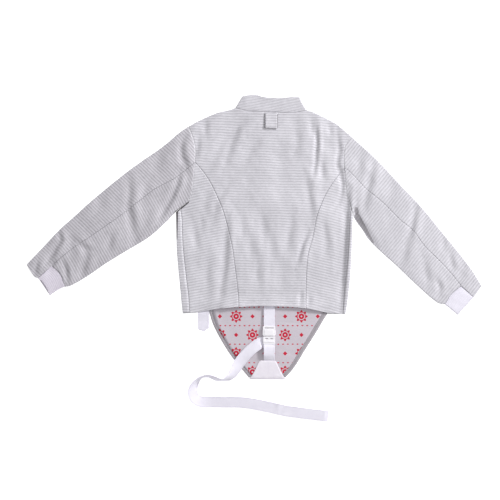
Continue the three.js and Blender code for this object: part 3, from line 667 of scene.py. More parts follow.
Sleeve = namedtuple("Sleeve", "top_edge elbow lower_edge wrist notch under_hem cuff_end cuff_edge")
left_sleeve = Sleeve(
    top_edge=smooth_line([(-223, 225), (-248, 208), (-278, 182), (-310, 158), (-351, 130), (-397, 96),
                          (-443, 59), (-489, 20), (-532, -19), (-570, -53), (-619, -105), (-659, -147)]),
    elbow=smooth_line([(-205, 128), (-259, 86), (-313, 57), (-346, 32), (-386, 0), (-427, -30), (-489, -73),
                       (-537, -105), (-591, -150)]),
    lower_edge=smooth_line([(-223, 22), (-240, 9), (-257, -5), (-280, -30), (-327, -72), (-381, -105),
                            (-443, -143), (-494, -178), (-537, -203), (-555, -207)]),
    wrist=smooth_line([(-628, -184), (-640, -177), (-659, -147)]),
    notch=smooth_line([(-591, -150), (-628, -184)]),
    under_hem=smooth_line([(-591, -150), (-575, -165), (-566, -178), (-559, -197), (-555, -207)]),
    cuff_end=smooth_line([(-628, -184), (-614, -196), (-603, -215), (-597, -231)]),
    cuff_edge=smooth_line([(-555, -207), (-570, -213), (-597, -231)]),
)
right_sleeve = Sleeve(
    top_edge=smooth_line([(216, 200), (240, 178), (270, 151), (305, 116), (340, 78), (378, 38), (413, 0),
                          (448, -43), (483, -86), (516, -127), (544, -165), (568, -204)]),
    elbow=smooth_line([(198, 113), (216, 99), (256, 57), (302, 19), (348, -27), (381, -54), (416, -100),
                       (451, -134), (489, -175), (512, -205)]),
    lower_edge=smooth_line([(212, 22), (218.5, 5), (223, -18), (234, -37), (247, -54), (264, -80),
                            (300, -116), (335, -147), (367, -178), (400, -209), (429, -235), (451, -251),
                            (468, -254)]),
    wrist=smooth_line([(546, -235), (556, -222), (568, -204)]),
    notch=smooth_line([(512, -205), (546, -235)]),
    under_hem=smooth_line([(512, -205), (494, -219), (481, -232), (475, -243), (468, -254)]),
    cuff_end=smooth_line([(546, -235), (503, -283)]),
    cuff_edge=smooth_line([(468, -254), (484, -267), (503, -283)]),
)
SleeveLook = namedtuple("SleeveLook", "side body sleeve cloth top_ribs under_ribs top_flat under_flat")
sleeve_looks = [
    SleeveLook("left", left_body, left_sleeve, left_sleeve_shaded_cloth, 135, 150, (200, 620), (215, 480)),
    SleeveLook("right", right_body, right_sleeve, right_cloth, 38, 40, (190, 600), (200, 460)),
]
for look in sleeve_looks:
    sleeve, body = look.sleeve, look.body
    top = add_sleeve_half(f"{look.side}_top_sleeve", f"sleeve_{look.side}_top",
                          joined(sleeve.elbow, sleeve.notch), sleeve.top_edge, body.armhole_upper,
                          sleeve.wrist, look.top_ribs, look.cloth,
                          (FLAT_SEAM, PLAIN, SEAM, HEM))
    grey_thread += [top[:, seam_stitch], upper_part(top[-1 - hem_stitch])]
    add_sleeve_half(f"{look.side}_under_sleeve", f"sleeve_{look.side}_under",
                    sleeve.elbow, sleeve.lower_edge, body.armhole_lower, sleeve.under_hem,
                    look.under_ribs, look.cloth, (FLAT_SEAM, PLAIN, SEAM, SEAM))


# The cuffs are 45 to 50 mm bands of woven white elastic at each wrist, sewn to the under sleeve's
# hem and folded at its lower edge. The weave gives them ribs 3.2 mm apart and a grain of 4 mm. Soft
# patches some 26 mm across are painted shade, standing in for puckers.
def woven_elastic(name, light, dark):
    """White ribbed elastic, with soft patches of painted shade in place of puckers."""
    material, tree, surface = new_material(name, Roughness=0.72, Sheen_Weight=0.1)
    place = add_node(tree, "ShaderNodeUVMap", uv_map="weave")
    along = add_node(tree, "ShaderNodeSeparateXYZ", {"Vector": place}).outputs["X"]
    turn = add_node(tree, MATH, {0: along, 1: 2 * math.pi / (3.2 * MM)}, operation="MULTIPLY")
    wave = add_node(tree, MATH, {0: turn}, operation="SINE")
    grainy = add_node(tree, NOISE, {"Vector": place, "Scale": 240, "Detail": 3})
    # Soft patches of painted shade, some 26 mm across.
    soft = add_node(tree, NOISE, {"Vector": place, "Scale": 38, "Detail": 1})
    shade = 0
    for part, weight in ((wave, 0.12), (grainy, 0.5), (soft, 0.5)):
        shade = add_node(tree, MATH, {0: part, 1: weight, 2: shade}, operation="MULTIPLY_ADD")
    colour = add_node(tree, "ShaderNodeMix", {"Factor": shade, "A": linear(dark), "B": linear(light)},
                      data_type="RGBA").outputs["Result"]
    relief = add_node(tree, MATH, {0: wave, 1: grainy}, operation="ADD")
    finish_surface(tree, surface, colour, relief, 0.3 * MM)
    return material


# The left cuff's dark colour is deeper than the right's, so that its patches of painted shade are darker.
elastic_looks = [
    ("left", left_sleeve, woven_elastic("elastic_left", "#EEE8F3", "#CCC5D4")),
    ("right", right_sleeve, woven_elastic("elastic_right", "#EFECF8", "#DFDBE8")),
]
for side, sleeve, elastic in elastic_looks:
    outer, inner, _ = half_tube(sleeve.notch, sleeve.cuff_edge, sleeve.under_hem, sleeve.cuff_end,
                                (SEAM, PLAIN, SEAM, PLAIN), fullness=0.6)
    length_share = np.linspace(0, 50 * MM, outer.shape[0])[:, None]
    width_share = np.linspace(0, 130 * MM, outer.shape[1])[None]
    elastic_places = np.stack(np.broadcast_arrays(length_share, width_share), axis=-1)
    cuff = add_cloth(f"{side}_cuff", outer, inner, elastic_places, elastic)
    declare_sheet(f"cuff_{side}")


# The fronts lie under the back, lining up. Each wraps round the body's outline to the side seam on the
# back. The right front is the wide one: it carries the bib, which reaches down to the crotch strap.
placket_x = -174
wrap_angles = np.radians(np.linspace(0, 165, 12))
strip_shares = np.array([0, 0.3, 0.6, 1])
strip_drop = 0.1
lift_angles = np.radians(np.linspace(0, 62, len(wrap_angles) + len(strip_shares)))


def front_section(rim, goal, wraps, shrink):
    """The turned-up end of one row: round the outline to the side seam, or only lifted."""
    reach = np.linalg.norm(goal - rim)
    inward = (goal - rim) / reach
    angles = wrap_angles if wraps else lift_angles
    strip = rim + (edge_radius + strip_shares * (reach - edge_radius - 0.3))[:, None] * inward
    height = upper_layer(strip[:, 0], strip[:, 1])
    middle = (height[0] if wraps else layer_top) / 2
    bend = edge_radius - (edge_radius - shrink) * np.sin(angles)
    arc = np.column_stack([rim + bend[:, None] * inward, middle - (middle - shrink) * np.cos(angles)])
    if not wraps:
        return arc
    return np.vstack([arc, np.column_stack([strip, height - strip_drop * strip_shares ** 2 - shrink])])


def front_panel(name, half, near, far):
    """A front: flat on the floor, turned up round the outline below the underarm."""
    rim_line = joined(half.outline, half.crook, half.armhole_lower[::-1], half.armhole_upper)
    placket_line = smooth_line([near[0], far[0]])
    wrap_share = length_of(half.outline) / length_of(rim_line)
    wrap_rows = np.linspace(0, wrap_share, 60)
    rows = np.concatenate([wrap_rows, np.linspace(wrap_share + 0.5 / length_of(rim_line), 1, 59)])
    columns = np.linspace(0, 1, max(int(length_of(near) / 8), 9))
    grid = stretched(placket_line, rim_line, near, far, rows, columns)
    seam = cut_at(half.side, wrap_rows / wrap_share)
    walls = []
    for shrink in (0, cloth_thick):
        wall = []
        for number, row in enumerate(grid):
            wraps = number < len(wrap_rows)
            goal = seam[number] if wraps else row[-2]
            flat = np.column_stack([row[:-1], np.full(len(row) - 1, float(shrink))])
            wall.append(np.vstack([flat, front_section(row[-1], goal, wraps, shrink)]))
        walls.append(np.array(wall))
    outer, inner = walls
    places = ribs(outer[..., 0], outer[..., 1], outer[..., 2], 90)
    return add_cloth(name, outer, inner, places, body_cloth), outer


bib_left = smooth_line([(-167, -276), (-154, -314), (-130, -359), (-103, -400), (-60, -452)])
bib_right = smooth_line([(39, -452), (63, -424), (92, -377), (121, -331), (151, -280)])

# The bib's edge is turned over onto the lining, narrow at the left and wide at the right, and stitched
# down near its inner edge.
TurnPoint = namedtuple("TurnPoint", "inside outer_z inner_z")
turn_section = [
    TurnPoint(0.0, 1.0, 1.0), TurnPoint(0.1, 2.6, 1.8), TurnPoint(0.8, 3.8, 2.8), TurnPoint(2.2, 4.6, 3.8),
    TurnPoint(4.4, 4.75, 4.0), TurnPoint(6.4, 4.5, 3.9), TurnPoint(7.6, 4.6, 3.9), TurnPoint(8.6, 4.1, 3.8),
]
turn_breadth = ((0, 0.45, 0.55, 1), (0.78, 0.78, 1.35, 1.35))


def add_turned_edge():
    """The turned edge along the bib's two sides and its bottom."""
    bib_edge = joined(bib_left, smooth_line([(-60, -452), (39, -452)]), bib_right)
    shares = np.linspace(0, 1, 260)
    edge_places = cut_at(bib_edge, shares)
    tangent = np.gradient(edge_places, axis=0)
    tangent /= np.linalg.norm(tangent, axis=1)[:, None]
    inward = np.column_stack([-tangent[:, 1], tangent[:, 0]])
    breadth = np.interp(shares, *turn_breadth)
    walls = []
    for height, least in (("outer_z", 0), ("inner_z", 0.9)):
        walls.append(np.stack([
            np.column_stack([edge_places + np.maximum(point.inside * breadth, least)[:, None] * inward,
                             np.full(len(edge_places), getattr(point, height))])
            for point in turn_section], axis=1))
    turned_places = np.stack(np.broadcast_arrays(
        (shares * length_of(bib_edge))[:, None], np.array([point.inside for point in turn_section])[None]),
        axis=-1) * MM
    turned = add_cloth("bib_turned_edge", walls[0], walls[1], turned_places, turned_edge_shaded_cloth)
    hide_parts("front_right")
    grey_thread.append(walls[0][:, 5])
    return turned


front_looks = [
    ("left_front", "front_left", left_body,
     smooth_line([(placket_x, -274), (-200, -277), (-236, -279)]),
     smooth_line([(placket_x, 250.5), (-200, 237.5), (-223, 225)]), (110, 535)),
    ("right_front", "front_right", right_body,
     joined(smooth_line([(placket_x, -274), (-167, -276)]), bib_left, smooth_line([(-60, -452), (39, -452)]),
            bib_right, smooth_line([(151, -280), (200, -281)])),
     joined(smooth_line([(placket_x, 250.5), (-148, 261), (-116, 269), (-96, 275)]), neck, right_shoulder),
     (430, 735)),
]
for name, node, half, near, far, flat_mm in front_looks:
    piece, outer = front_panel(name, half, near, far)
    turned_pieces = [add_turned_edge()] if name == "right_front" else []
    declare_sheet(node)


# The placket is a narrow doubled strip of the same cloth. It faces the front's closure on the inside, where
# the zip would be sewn. It is hidden, and plain.
def flat_sheet(name, first, last, near, far, top, thick, material, step=8.0, relief=None):
    """A nearly flat sheet between four edges, at a height in mm over the floor."""
    rows = np.linspace(0, 1, max(int(length_of(first) / step), 4))
    columns = np.linspace(0, 1, max(int(length_of(near) / step), 4))
    grid = stretched(first, last, near, far, rows, columns)
    x, y = grid[..., 0], grid[..., 1]
    z = np.full(x.shape, float(top)) if relief is None else top + relief(x, y)
    outer = np.stack([x, y, z], axis=-1)
    inner = np.stack([x, y, z - thick], axis=-1)
    return add_cloth(name, outer, inner, np.stack([x, y], axis=-1) * MM, material), outer


placket_left, placket_right, placket_bottom, placket_top = placket_x - 14, placket_x + 14, -246, 236
placket_sides = [smooth_line([(x, placket_bottom), (x, placket_top)]) for x in (placket_left, placket_right)]
placket_ends = [smooth_line([(placket_left, y), (placket_right, y)]) for y in (placket_bottom, placket_top)]
placket, outer = flat_sheet("placket", *placket_sides, *placket_ends, 1.9, 0.8, body_cloth)
declare_sheet("front_placket")


# The bib's lining is a matt polyester, printed in red on a pinkish grey. The print is a plain geometric
# one: eight-point rosettes 88 by 50 mm apart, small diamonds and rows of beads 13 mm apart. The weave's
# grain is 2.4 mm.
def printed_lining():
    """Rosettes in rows, each second row moved by half a step, with diamonds and beads between them."""
    material, tree, surface = new_material("printed_lining_cloth", Roughness=0.82, Specular_IOR_Level=0.25)
    place = add_node(tree, "ShaderNodeUVMap", uv_map="weave")
    parts = add_node(tree, "ShaderNodeSeparateXYZ", {"Vector": place})
    across, up = parts.outputs["X"], parts.outputs["Y"]
    step_x, step_y, rosette, diamond, bead_step = 88 * MM, 50 * MM, 17 * MM, 6 * MM, 13 * MM
    start_x, start_y = 1.018, 1.012
    row = add_node(tree, MATH, {0: up, 1: 1 / step_y, 2: start_y / step_y}, operation="MULTIPLY_ADD")
    whole = add_node(tree, MATH, {0: row}, operation="FLOOR")
    odd = add_node(tree, MATH, {0: whole, 1: 2}, operation="MODULO")
    shift = add_node(tree, MATH, {0: odd, 1: 0.5, 2: start_x / step_x}, operation="MULTIPLY_ADD")
    column = add_node(tree, MATH, {0: across, 1: 1 / step_x, 2: shift}, operation="MULTIPLY_ADD")
    beads = add_node(tree, MATH, {0: across, 1: bead_step}, operation="DIVIDE")
    centred = []
    for part, step in ((column, step_x), (row, step_y), (beads, bead_step)):
        share = add_node(tree, MATH, {0: part}, operation="FRACT")
        offset = add_node(tree, MATH, {0: share, 1: step, 2: -step / 2}, operation="MULTIPLY_ADD")
        centred += [offset, add_node(tree, MATH, {0: offset}, operation="ABSOLUTE")]
    x, side_x, y, side_y, _, side_bead = centred
    flat = add_node(tree, "ShaderNodeCombineXYZ", {"X": x, "Y": y})
    radius = add_node(tree, VECTOR, {0: flat}, operation="LENGTH").outputs["Value"]
    angle = add_node(tree, MATH, {0: y, 1: x}, operation="ARCTAN2")
    petals = add_node(tree, MATH, {0: angle, 1: 8}, operation="MULTIPLY")
    petals = add_node(tree, MATH, {0: petals}, operation="COSINE")
    reach = add_node(tree, MATH, {0: petals, 1: 0.16 * rosette, 2: 0.84 * rosette}, operation="MULTIPLY_ADD")
    red = add_node(tree, MATH, {0: radius, 1: reach}, operation="LESS_THAN")
    ring = add_node(tree, MATH, {0: radius, 1: 0.52 * rosette, 2: 0.07 * rosette}, operation="COMPARE")
    eye = add_node(tree, MATH, {0: radius, 1: 0.14 * rosette}, operation="LESS_THAN")
    for bare in (ring, eye):
        red = add_node(tree, MATH, {0: red, 1: bare}, operation="SUBTRACT")
    between = add_node(tree, MATH, {0: side_y, 1: side_x}, operation="SUBTRACT")
    between = add_node(tree, MATH, {0: between, 1: diamond - step_x / 2}, operation="LESS_THAN")
    dots = add_node(tree, MATH, {0: side_y, 1: -1.7, 2: side_bead}, operation="MULTIPLY_ADD")
    dots = add_node(tree, MATH, {0: dots, 1: 3.4 * MM - 1.7 * step_y / 2}, operation="LESS_THAN")
    for motif in (between, dots):
        red = add_node(tree, MATH, {0: red, 1: motif}, operation="MAXIMUM")
    grain = add_node(tree, NOISE, {"Vector": place, "Scale": 420, "Detail": 3})
    ground, ink = [
        add_node(tree, "ShaderNodeMix", {"Factor": grain, "A": linear(dark), "B": linear(light)},
                 data_type="RGBA").outputs["Result"]
        for dark, light in (("#BAB2BC", "#DAD3DB"), ("#B5152F", "#D2354C"))]
    colour = add_node(tree, "ShaderNodeMix", {"Factor": red, "A": ground, "B": ink}, data_type="RGBA")
    finish_surface(tree, surface, colour.outputs["Result"], grain, 0.15 * MM, 0.4)
    return material


lining_top = 3.8
lining_creases = [
    Crease([(-140, -268), (-128, -300), (-96, -352)], 12, -0.8, 0.5),
    Crease([(70, -306), (30, -303)], 4, -1.0, 0.6),
    Crease([(60, -392), (20, -372)], 7, -0.8, 0.6),
    Crease([(90, -300), (76, -346), (48, -396)], 9, -0.7, 0.5),
    Crease([(-60, -390), (-44, -420)], 9, -0.9, 0.7),
    Crease([(-26, -346), (-32, -372), (-38, -400)], 9, -1.8, 0),
]


def lining_relief(x, y):
    """Shallow creases in the lining, which rises a little where it runs in under the hem."""
    total = 0.35 * slack(1.4 * x + 40, 1.4 * y)
    for crease in lining_creases:
        total = total + crease_relief(x, y, crease)
    towards_hem = np.clip((y + 292) / 34, 0, 1) * np.clip((148 - np.abs(x + 8)) / 45, 0, 1)
    return np.clip(total, -1.6, 0.15) + 1.2 * towards_hem


lining_edges = (
    smooth_line([(-52, -446), (-95, -396), (-122, -355), (-146, -312), (-157, -276), (-157, -250)]),
    smooth_line([(33, -446), (55, -420), (84, -373), (112, -328), (138, -284), (141, -250)]),
    smooth_line([(-52, -446), (33, -446)]),
    smooth_line([(-157, -250), (141, -250)]),
)
lining, outer = flat_sheet("bib_lining_cloth", *lining_edges, lining_top, 0.9, printed_lining(), step=3.0,
                           relief=lining_relief)
declare_sheet("bib_lining")


# The stand collar is a flattened band above the neck seam, open at the top. It is cut from the same cloth
# as the back, doubled, and sewn into the neck with the clip's tab.
collar_turn = 3.0


def flat_band(first, last, near, far):
    """Outer and inner loops of a flattened band, one for each row from near to far."""
    rows = shares_along(length_of(first), 3.0)
    across = length_of(near)
    inner_columns = shares_along(across)
    columns = inner_columns[np.abs(inner_columns - 0.5) * across < across / 2 - collar_turn * 1.3]
    grid = stretched(first, last, near, far, rows, np.concatenate([[0], columns, [1]]))
    turn = np.radians([160, 135, 110, 90, 70, 45, 20])
    loops = []
    for shrink in (0, cloth_thick):
        loop = []
        for number, row in enumerate(grid):
            open_row = row[1:-1]
            groove = SEAM.seam * math.exp(-(np.linalg.norm(row[0] - grid[0][0]) / seam_reach) ** 2)
            top = upper_layer(open_row[:, 0], open_row[:, 1]) - groove
            sections = [np.column_stack([open_row, top - shrink])]
            for rim, start, height, angles in ((row[-1], open_row[-1], top[-1], turn),
                                               (row[0], open_row[0], top[0], turn[::-1])):
                arm = rim - start
                span = np.linalg.norm(arm)
                reach = (span - shrink) * np.sin(angles)
                z = height / 2 - (height / 2 - shrink) * np.cos(angles)
                sections.append(np.column_stack([start + reach[:, None] * arm / span, z]))
            floor_row = np.column_stack([open_row[::-1], np.full(len(open_row), float(shrink))])
            loop.append(np.vstack([sections[0], sections[1], floor_row, sections[2]]))
        loops.append(np.array(loop))
    return loops


collar_top = smooth_line([(-78, 306), (-57, 310), (-38, 310), (-16, 304), (24, 302), (51, 304), (77, 305)])
collar_left = smooth_line([(-96, 275), (-78, 306)])
collar_right = smooth_line([(97, 269), (87, 286), (77, 305)])
outer, inner = flat_band(collar_left, collar_right, neck, collar_top)
collar_places = ribs(outer[..., 0], outer[..., 1], outer[..., 2], 78.5)
collar = add_cloth("stand_collar", outer, inner, collar_places, collar_cloth, looped=True)
declare_sheet("collar")
grey_thread += [upper_part(outer[row]) for row in (seam_stitch, -1 - seam_stitch)]

# The tab for the mask cord's clip: doubled lame cloth, caught in the neck seam, its free end lifting a
# little. Rows of near-black stitches along its two sides are painted shade at its edges.
tab_left, tab_right, tab_top = -16, 17.5, 262
tab_lower_left, tab_lower_right = (tab_left, 221), (tab_right, 219)
tab_upper_left, tab_upper_right = (tab_left, tab_top), (tab_right, tab_top)
grid = stretched(
    smooth_line([tab_lower_left, tab_upper_left]), smooth_line([tab_lower_right, tab_upper_right]),
    smooth_line([tab_lower_left, tab_lower_right]), smooth_line([tab_upper_left, tab_upper_right]),
    shares_along(42, 3.0), shares_along(33, 3.0))
x, y = grid[..., 0], grid[..., 1]
tab_lift = 1.3 + 1.5 * np.clip((256 - y) / 30, 0, 1)
rounding = 0.9 * np.exp(-(np.minimum(np.minimum(x - x[:, :1], x[:, -1:] - x), y - y[:1]) / 1.1) ** 2)
tab_base = upper_layer(x, y) + tab_lift
outer = np.stack([x, y, tab_base + 2.1 - rounding], axis=-1)
inner = np.stack([x, y, tab_base], axis=-1)
tab = add_cloth("clip_tab_cloth", outer, inner, ribs(x, y, x * 0, 90), body_cloth)
declare_sheet("clip_tab")
grey_thread += [outer[:-6, 4], outer[:-6, -5], outer[4, 4:-4]]
# Near-black stitches along the tab's sides: painted shade at its edges.
tab_edge_shade_lines += [outer[:-4, 0], outer[3:-4, -1]]


# The webbing is woven white polyester, 30 mm wide and 1.8 mm thick, with a firm line along each edge. Its
# cross ribs are drawn 2.6 mm apart and its warp 1.9 mm, and faint soiling shows over 29 mm. Its loose end
# rolls nearly onto its edge before it lies flat.
def white_webbing(name, light, dark):
    """Woven webbing with cross ribs and its two selvedges."""
    material, tree, surface = new_material(name, Roughness=0.62, Sheen_Weight=0.12)
    place = add_node(tree, "ShaderNodeUVMap", uv_map="weave")
    parts = add_node(tree, "ShaderNodeSeparateXYZ", {"Vector": place})
    waves = []
    for axis, length in (("X", 2.6 * MM), ("Y", 1.9 * MM)):
        turn = add_node(tree, MATH, {0: parts.outputs[axis], 1: 2 * math.pi / length}, operation="MULTIPLY")
        waves.append(add_node(tree, MATH, {0: turn}, operation="SINE"))
    rib, warp = waves
    beside = add_node(tree, MATH, {0: parts.outputs["Y"]}, operation="ABSOLUTE")
    selvedge = add_node(tree, MATH, {0: beside, 1: 12.3 * MM, 2: 0.5 * MM}, operation="COMPARE")
    shade = add_node(tree, NOISE, {"Vector": place, "Scale": 34, "Detail": 3})
    for part, weight in ((rib, 0.12), (selvedge, -0.35)):
        shade = add_node(tree, MATH, {0: part, 1: weight, 2: shade}, operation="MULTIPLY_ADD")
    colour = add_node(tree, "ShaderNodeMix", {"Factor": shade, "A": linear(dark), "B": linear(light)},
                      data_type="RGBA").outputs["Result"]
    relief = rib
    for part, weight in ((warp, rib), (selvedge, -1.5)):
        relief = add_node(tree, MATH, {0: part, 1: weight, 2: relief}, operation="MULTIPLY_ADD")
    finish_surface(tree, surface, colour, relief, 0.25 * MM)
    return material


webbing_cloth = white_webbing("white_polyester_webbing", light="#F4F1FC", dark="#E6E2F0")
webbing_wide, webbing_thick = 30.0, 1.8
BandPoint = namedtuple("BandPoint", "share half")
band_section = [BandPoint(-1, 0.35), BandPoint(-0.985, 0.72), BandPoint(-0.95, 0.9), BandPoint(-0.86, 0.86),
                BandPoint(-0.8, 0.8), BandPoint(-0.4, 0.82), BandPoint(0, 0.82), BandPoint(0.4, 0.82),
                BandPoint(0.8, 0.8), BandPoint(0.86, 0.86), BandPoint(0.95, 0.9), BandPoint(0.985, 0.72),
                BandPoint(1, 0.35)]
RoutePoint = namedtuple("RoutePoint", "x y z roll share", defaults=(0, 1))


def add_webbing(name, node, route):
    """A length of webbing along a route, turned about its length where it rolls over."""
    line = smooth_rows(route, 8)
    places, roll, share = line[:, :3], np.radians(line[:, 3]), line[:, 4]
    tangent = np.gradient(places, axis=0)
    tangent /= np.linalg.norm(tangent, axis=1)[:, None]
    level = np.column_stack([tangent[:, 1], -tangent[:, 0], np.zeros(len(tangent))])
    level /= np.linalg.norm(level, axis=1)[:, None]
    across = level * np.cos(roll)[:, None] + np.cross(tangent, level) * np.sin(roll)[:, None]
    normal = np.cross(tangent, across)
    normal *= np.sign(normal[:, 2:])
    half = webbing_wide / 2 * share
    reach = np.abs(across[:, 2]) * half + np.abs(normal[:, 2]) * webbing_thick / 2
    places[:, 2] = np.maximum(places[:, 2], reach)
    walls = []
    for side in (1, -1):
        walls.append(np.stack([
            places + across * (half * point.share)[:, None] + normal * (side * point.half)
            for point in band_section], axis=1))
    travelled = np.concatenate([[0], np.cumsum(np.linalg.norm(np.diff(places, axis=0), axis=1))])
    weave = np.stack(np.broadcast_arrays(
        travelled[:, None], np.array([p.share for p in band_section])[None] * webbing_wide / 2), axis=-1) * MM
    piece = add_cloth(name, walls[0], walls[1], weave, webbing_cloth)
    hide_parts(node)


buckle_x, buckle_top, buckle_bottom = -5.5, -312, -362
on_lining = 4.1 + webbing_thick / 2
strap_x = -5
add_webbing("crotch_strap_upper", "strap_upper", [
    RoutePoint(strap_x, -242, on_lining + 2.3), RoutePoint(strap_x, -262, on_lining + 2.3),
    RoutePoint(strap_x, -285, on_lining + 2.6), RoutePoint(strap_x, buckle_top - 2, on_lining + 4),
])
add_webbing("crotch_strap_lower", "strap_lower", [
    RoutePoint(strap_x, buckle_bottom + 3, on_lining + 4), RoutePoint(strap_x, -372, on_lining + 8, -5),
    RoutePoint(strap_x, -390, on_lining + 7, -7), RoutePoint(strap_x, -405.7, on_lining),
])
add_webbing("crotch_strap_tail", "strap_tail", [
    RoutePoint(-10, -356, 4.9), RoutePoint(-24, -357, 5.6), RoutePoint(-34, -361.5, 8.2, 4),
    RoutePoint(-50, -373, 9.2, 6), RoutePoint(-68, -390, 9.6, 2), RoutePoint(-85, -411, 10, -8),
    RoutePoint(-98, -433, 12.5, -26), RoutePoint(-111, -449, 14, -48), RoutePoint(-130, -457, 15, -74),
    RoutePoint(-148, -454, 15, -64), RoutePoint(-168, -447, 15, -69), RoutePoint(-188, -450, 15, -74),
    RoutePoint(-202, -464, 14, -58), RoutePoint(-210, -482, 12, -38), RoutePoint(-209, -499, 9, -26),
    RoutePoint(-200, -511, 6, -20), RoutePoint(-185, -517.5, 3, -8),
    RoutePoint(-159, -518, 0.9), RoutePoint(-84, -519, 0.9), RoutePoint(-40, -525, 0.9),
    RoutePoint(3, -534, 0.9), RoutePoint(18, -537.2, 1.9, 3), RoutePoint(30, -539.8, 0.9),
    RoutePoint(51, -544, 0.9), RoutePoint(155, -557, 0.9),
])
add_webbing("side_strap_end", "side_strap", [
    RoutePoint(-182, -250, 3.2), RoutePoint(-182, -272, 3.2), RoutePoint(-182, -283, 2.8),
    RoutePoint(-182, -300, 0.9), RoutePoint(-182, -316, 0.9), RoutePoint(-182, -320, 0.9),
    RoutePoint(-181.5, -324, 0.9, 0, 0.55), RoutePoint(-181, -328, 0.9, 0, 0.08),
])

# The patch at the strap's root is doubled white cloth, turned down over the bib's lower edge. It is sewn
# along both sides and twice across.
PatchRow = namedtuple("PatchRow", "y z inner_y inner_z")
patch_top, patch_depth, patch_across = -406, 51, 70
patch_rows = smooth_rows([
    PatchRow(patch_top, 5.9, patch_top, 4.1), PatchRow(-428, 5.9, -428, 4.1), PatchRow(-449, 5.9, -449, 4.1),
    PatchRow(-455, 4.6, -453.6, 3.3), PatchRow(-457, 2.4, -455.2, 1.8), PatchRow(-457, 0, -455.2, 0),
], 8)
shares = shares_along(patch_across, 3.0)
down = (patch_top - patch_rows[:, 0]) / patch_depth
shoulder = 4 * np.exp(-down / 0.03)
left_x, right_x = -32 - 19 * down - 7 * down ** 2 + shoulder, 13 + 20 * down + 6 * down ** 2 - shoulder
x = left_x[:, None] + (right_x - left_x)[:, None] * shares[None]
soft = 0.7 * np.exp(-(np.minimum(shares, 1 - shares) * patch_across / 1.2) ** 2)
outer = np.stack([x, np.broadcast_to(patch_rows[:, :1], x.shape), patch_rows[:, 1:2] - soft[None]], axis=-1)
outer[..., 2] = np.maximum(outer[..., 2], 0)
inner = np.stack([x, np.broadcast_to(patch_rows[:, 2:3], x.shape),
                  np.broadcast_to(patch_rows[:, 3:], x.shape)], axis=-1)
patch_cloth = white_webbing("white_patch_cloth", light="#FAF5FD", dark="#ECE6F2")
patch_weave = np.stack([outer[..., 1], outer[..., 0]], axis=-1) * MM * 1.7
patch = add_cloth("strap_patch_cloth", outer, inner, patch_weave, patch_cloth)
declare_sheet("strap_patch")
white_thread += [outer[2:-10, 4], outer[2:-10, -5], outer[2, 4:-4], outer[14, 4:-4]]

# The side-release buckle is closed. Its two halves are moulded in white acetal, which has a soft gloss,
# faint flow marks 11 mm across and a fine grain of 0.6 mm.
acetal, tree, surface = new_material("white_acetal", Roughness=0.34)
place = add_node(tree, "ShaderNodeTexCoord").outputs["Object"]
flow = add_node(tree, NOISE, {"Vector": place, "Scale": 90, "Detail": 3})
colour = add_node(tree, "ShaderNodeMix", {"Factor": flow, "A": linear("#ECE9F1"), "B": linear("#FAF8FC")},
                  data_type="RGBA").outputs["Result"]
fine = add_node(tree, NOISE, {"Vector": place, "Scale": 1600, "Detail": 2})
finish_surface(tree, surface, colour, fine, 0.05 * MM, 0.25)


def buckle_part(name, node, outline, heights, cutouts_and_shadows=(), bevel=1.1 * MM):
    """A moulded plate with rounded corners: holes are cut through it, and its edges are rounded over."""
    low, high = (height * MM for height in heights)
    shape = bpy.data.curves.new(name, "CURVE")
    shape.dimensions = "2D"
    shape.fill_mode = "BOTH"
    shape.extrude = (high - low) / 2 - bevel
    shape.bevel_depth = bevel
    shape.bevel_resolution = 3
    shape.offset = -bevel
    for loop in (outline, *cutouts_and_shadows):
        spline = shape.splines.new("POLY")
        spline.points.add(len(loop) - 1)
        for point, (px, py) in zip(spline.points, loop):
            point.co = (px * MM, py * MM, 0, 1)
        spline.use_cyclic_u = True
    source = bpy.data.objects.new(name, shape)
    scene.collection.objects.link(source)
    graph = bpy.context.evaluated_depsgraph_get()
    mesh = bpy.data.meshes.new_from_object(source.evaluated_get(graph))
    bpy.data.objects.remove(source)
    mesh.transform(Matrix.Translation((0, 0, (low + high) / 2)))
    mesh.materials.clear()
    mesh.materials.append(acetal)
    piece = bpy.data.objects.new(name, mesh)
    scene.collection.objects.link(piece)
    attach(piece, "root")
    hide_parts(node)


def rounded(left, right, bottom, top, corner):
    """A rectangle's outline with rounded corners, anticlockwise, in mm."""
    steps = 6
    centres = ((right - corner, bottom + corner, -90), (right - corner, top - corner, 0),
               (left + corner, top - corner, 90), (left + corner, bottom + corner, 180))
    return [(cx + corner * math.cos(math.radians(start + 90 * i / steps)),
             cy + corner * math.sin(math.radians(start + 90 * i / steps)))
            for cx, cy, start in centres for i in range(steps + 1)]


# The socket half has a shallow raised field, and windows at its sides where the prongs show
buckle_low, buckle_high = 6.3, 12.0
buckle_left, buckle_right = buckle_x - 17, buckle_x + 17
buckle_part("buckle_socket", "buckle_female",
            rounded(buckle_left, buckle_right, -340.2, -312, 4.5), (buckle_low, buckle_high),
            [rounded(buckle_left + 5, buckle_right - 5, -318.7, -317.3, 0.6)[::-1]])
buckle_part("buckle_socket_field", "buckle_female",
            rounded(buckle_left + 4, buckle_right - 4, -337.5, -323, 3),
            (buckle_high - 2.2, buckle_high + 0.9), bevel=0.7 * MM)
for side in (-1, 1):
    edge = buckle_x + side * 16.3
    buckle_part(f"buckle_prong_{'left' if side < 0 else 'right'}", "buckle_male",
                rounded(edge - 1.6, edge + 1.6, -337, -324, 1.5), (buckle_low + 1.4, buckle_high - 1.2),
                bevel=0.6 * MM)
buckle_part("buckle_plug", "buckle_male", rounded(buckle_left + 0.5, buckle_right - 0.5, -362, -340.9, 3.5),
            (buckle_low, buckle_high - 0.5),
            [rounded(buckle_x - 11, buckle_x - 2.5, -347.7, -346.1, 0.7)[::-1],
             rounded(buckle_x + 2.5, buckle_x + 11, -347.7, -346.1, 0.7)[::-1]])
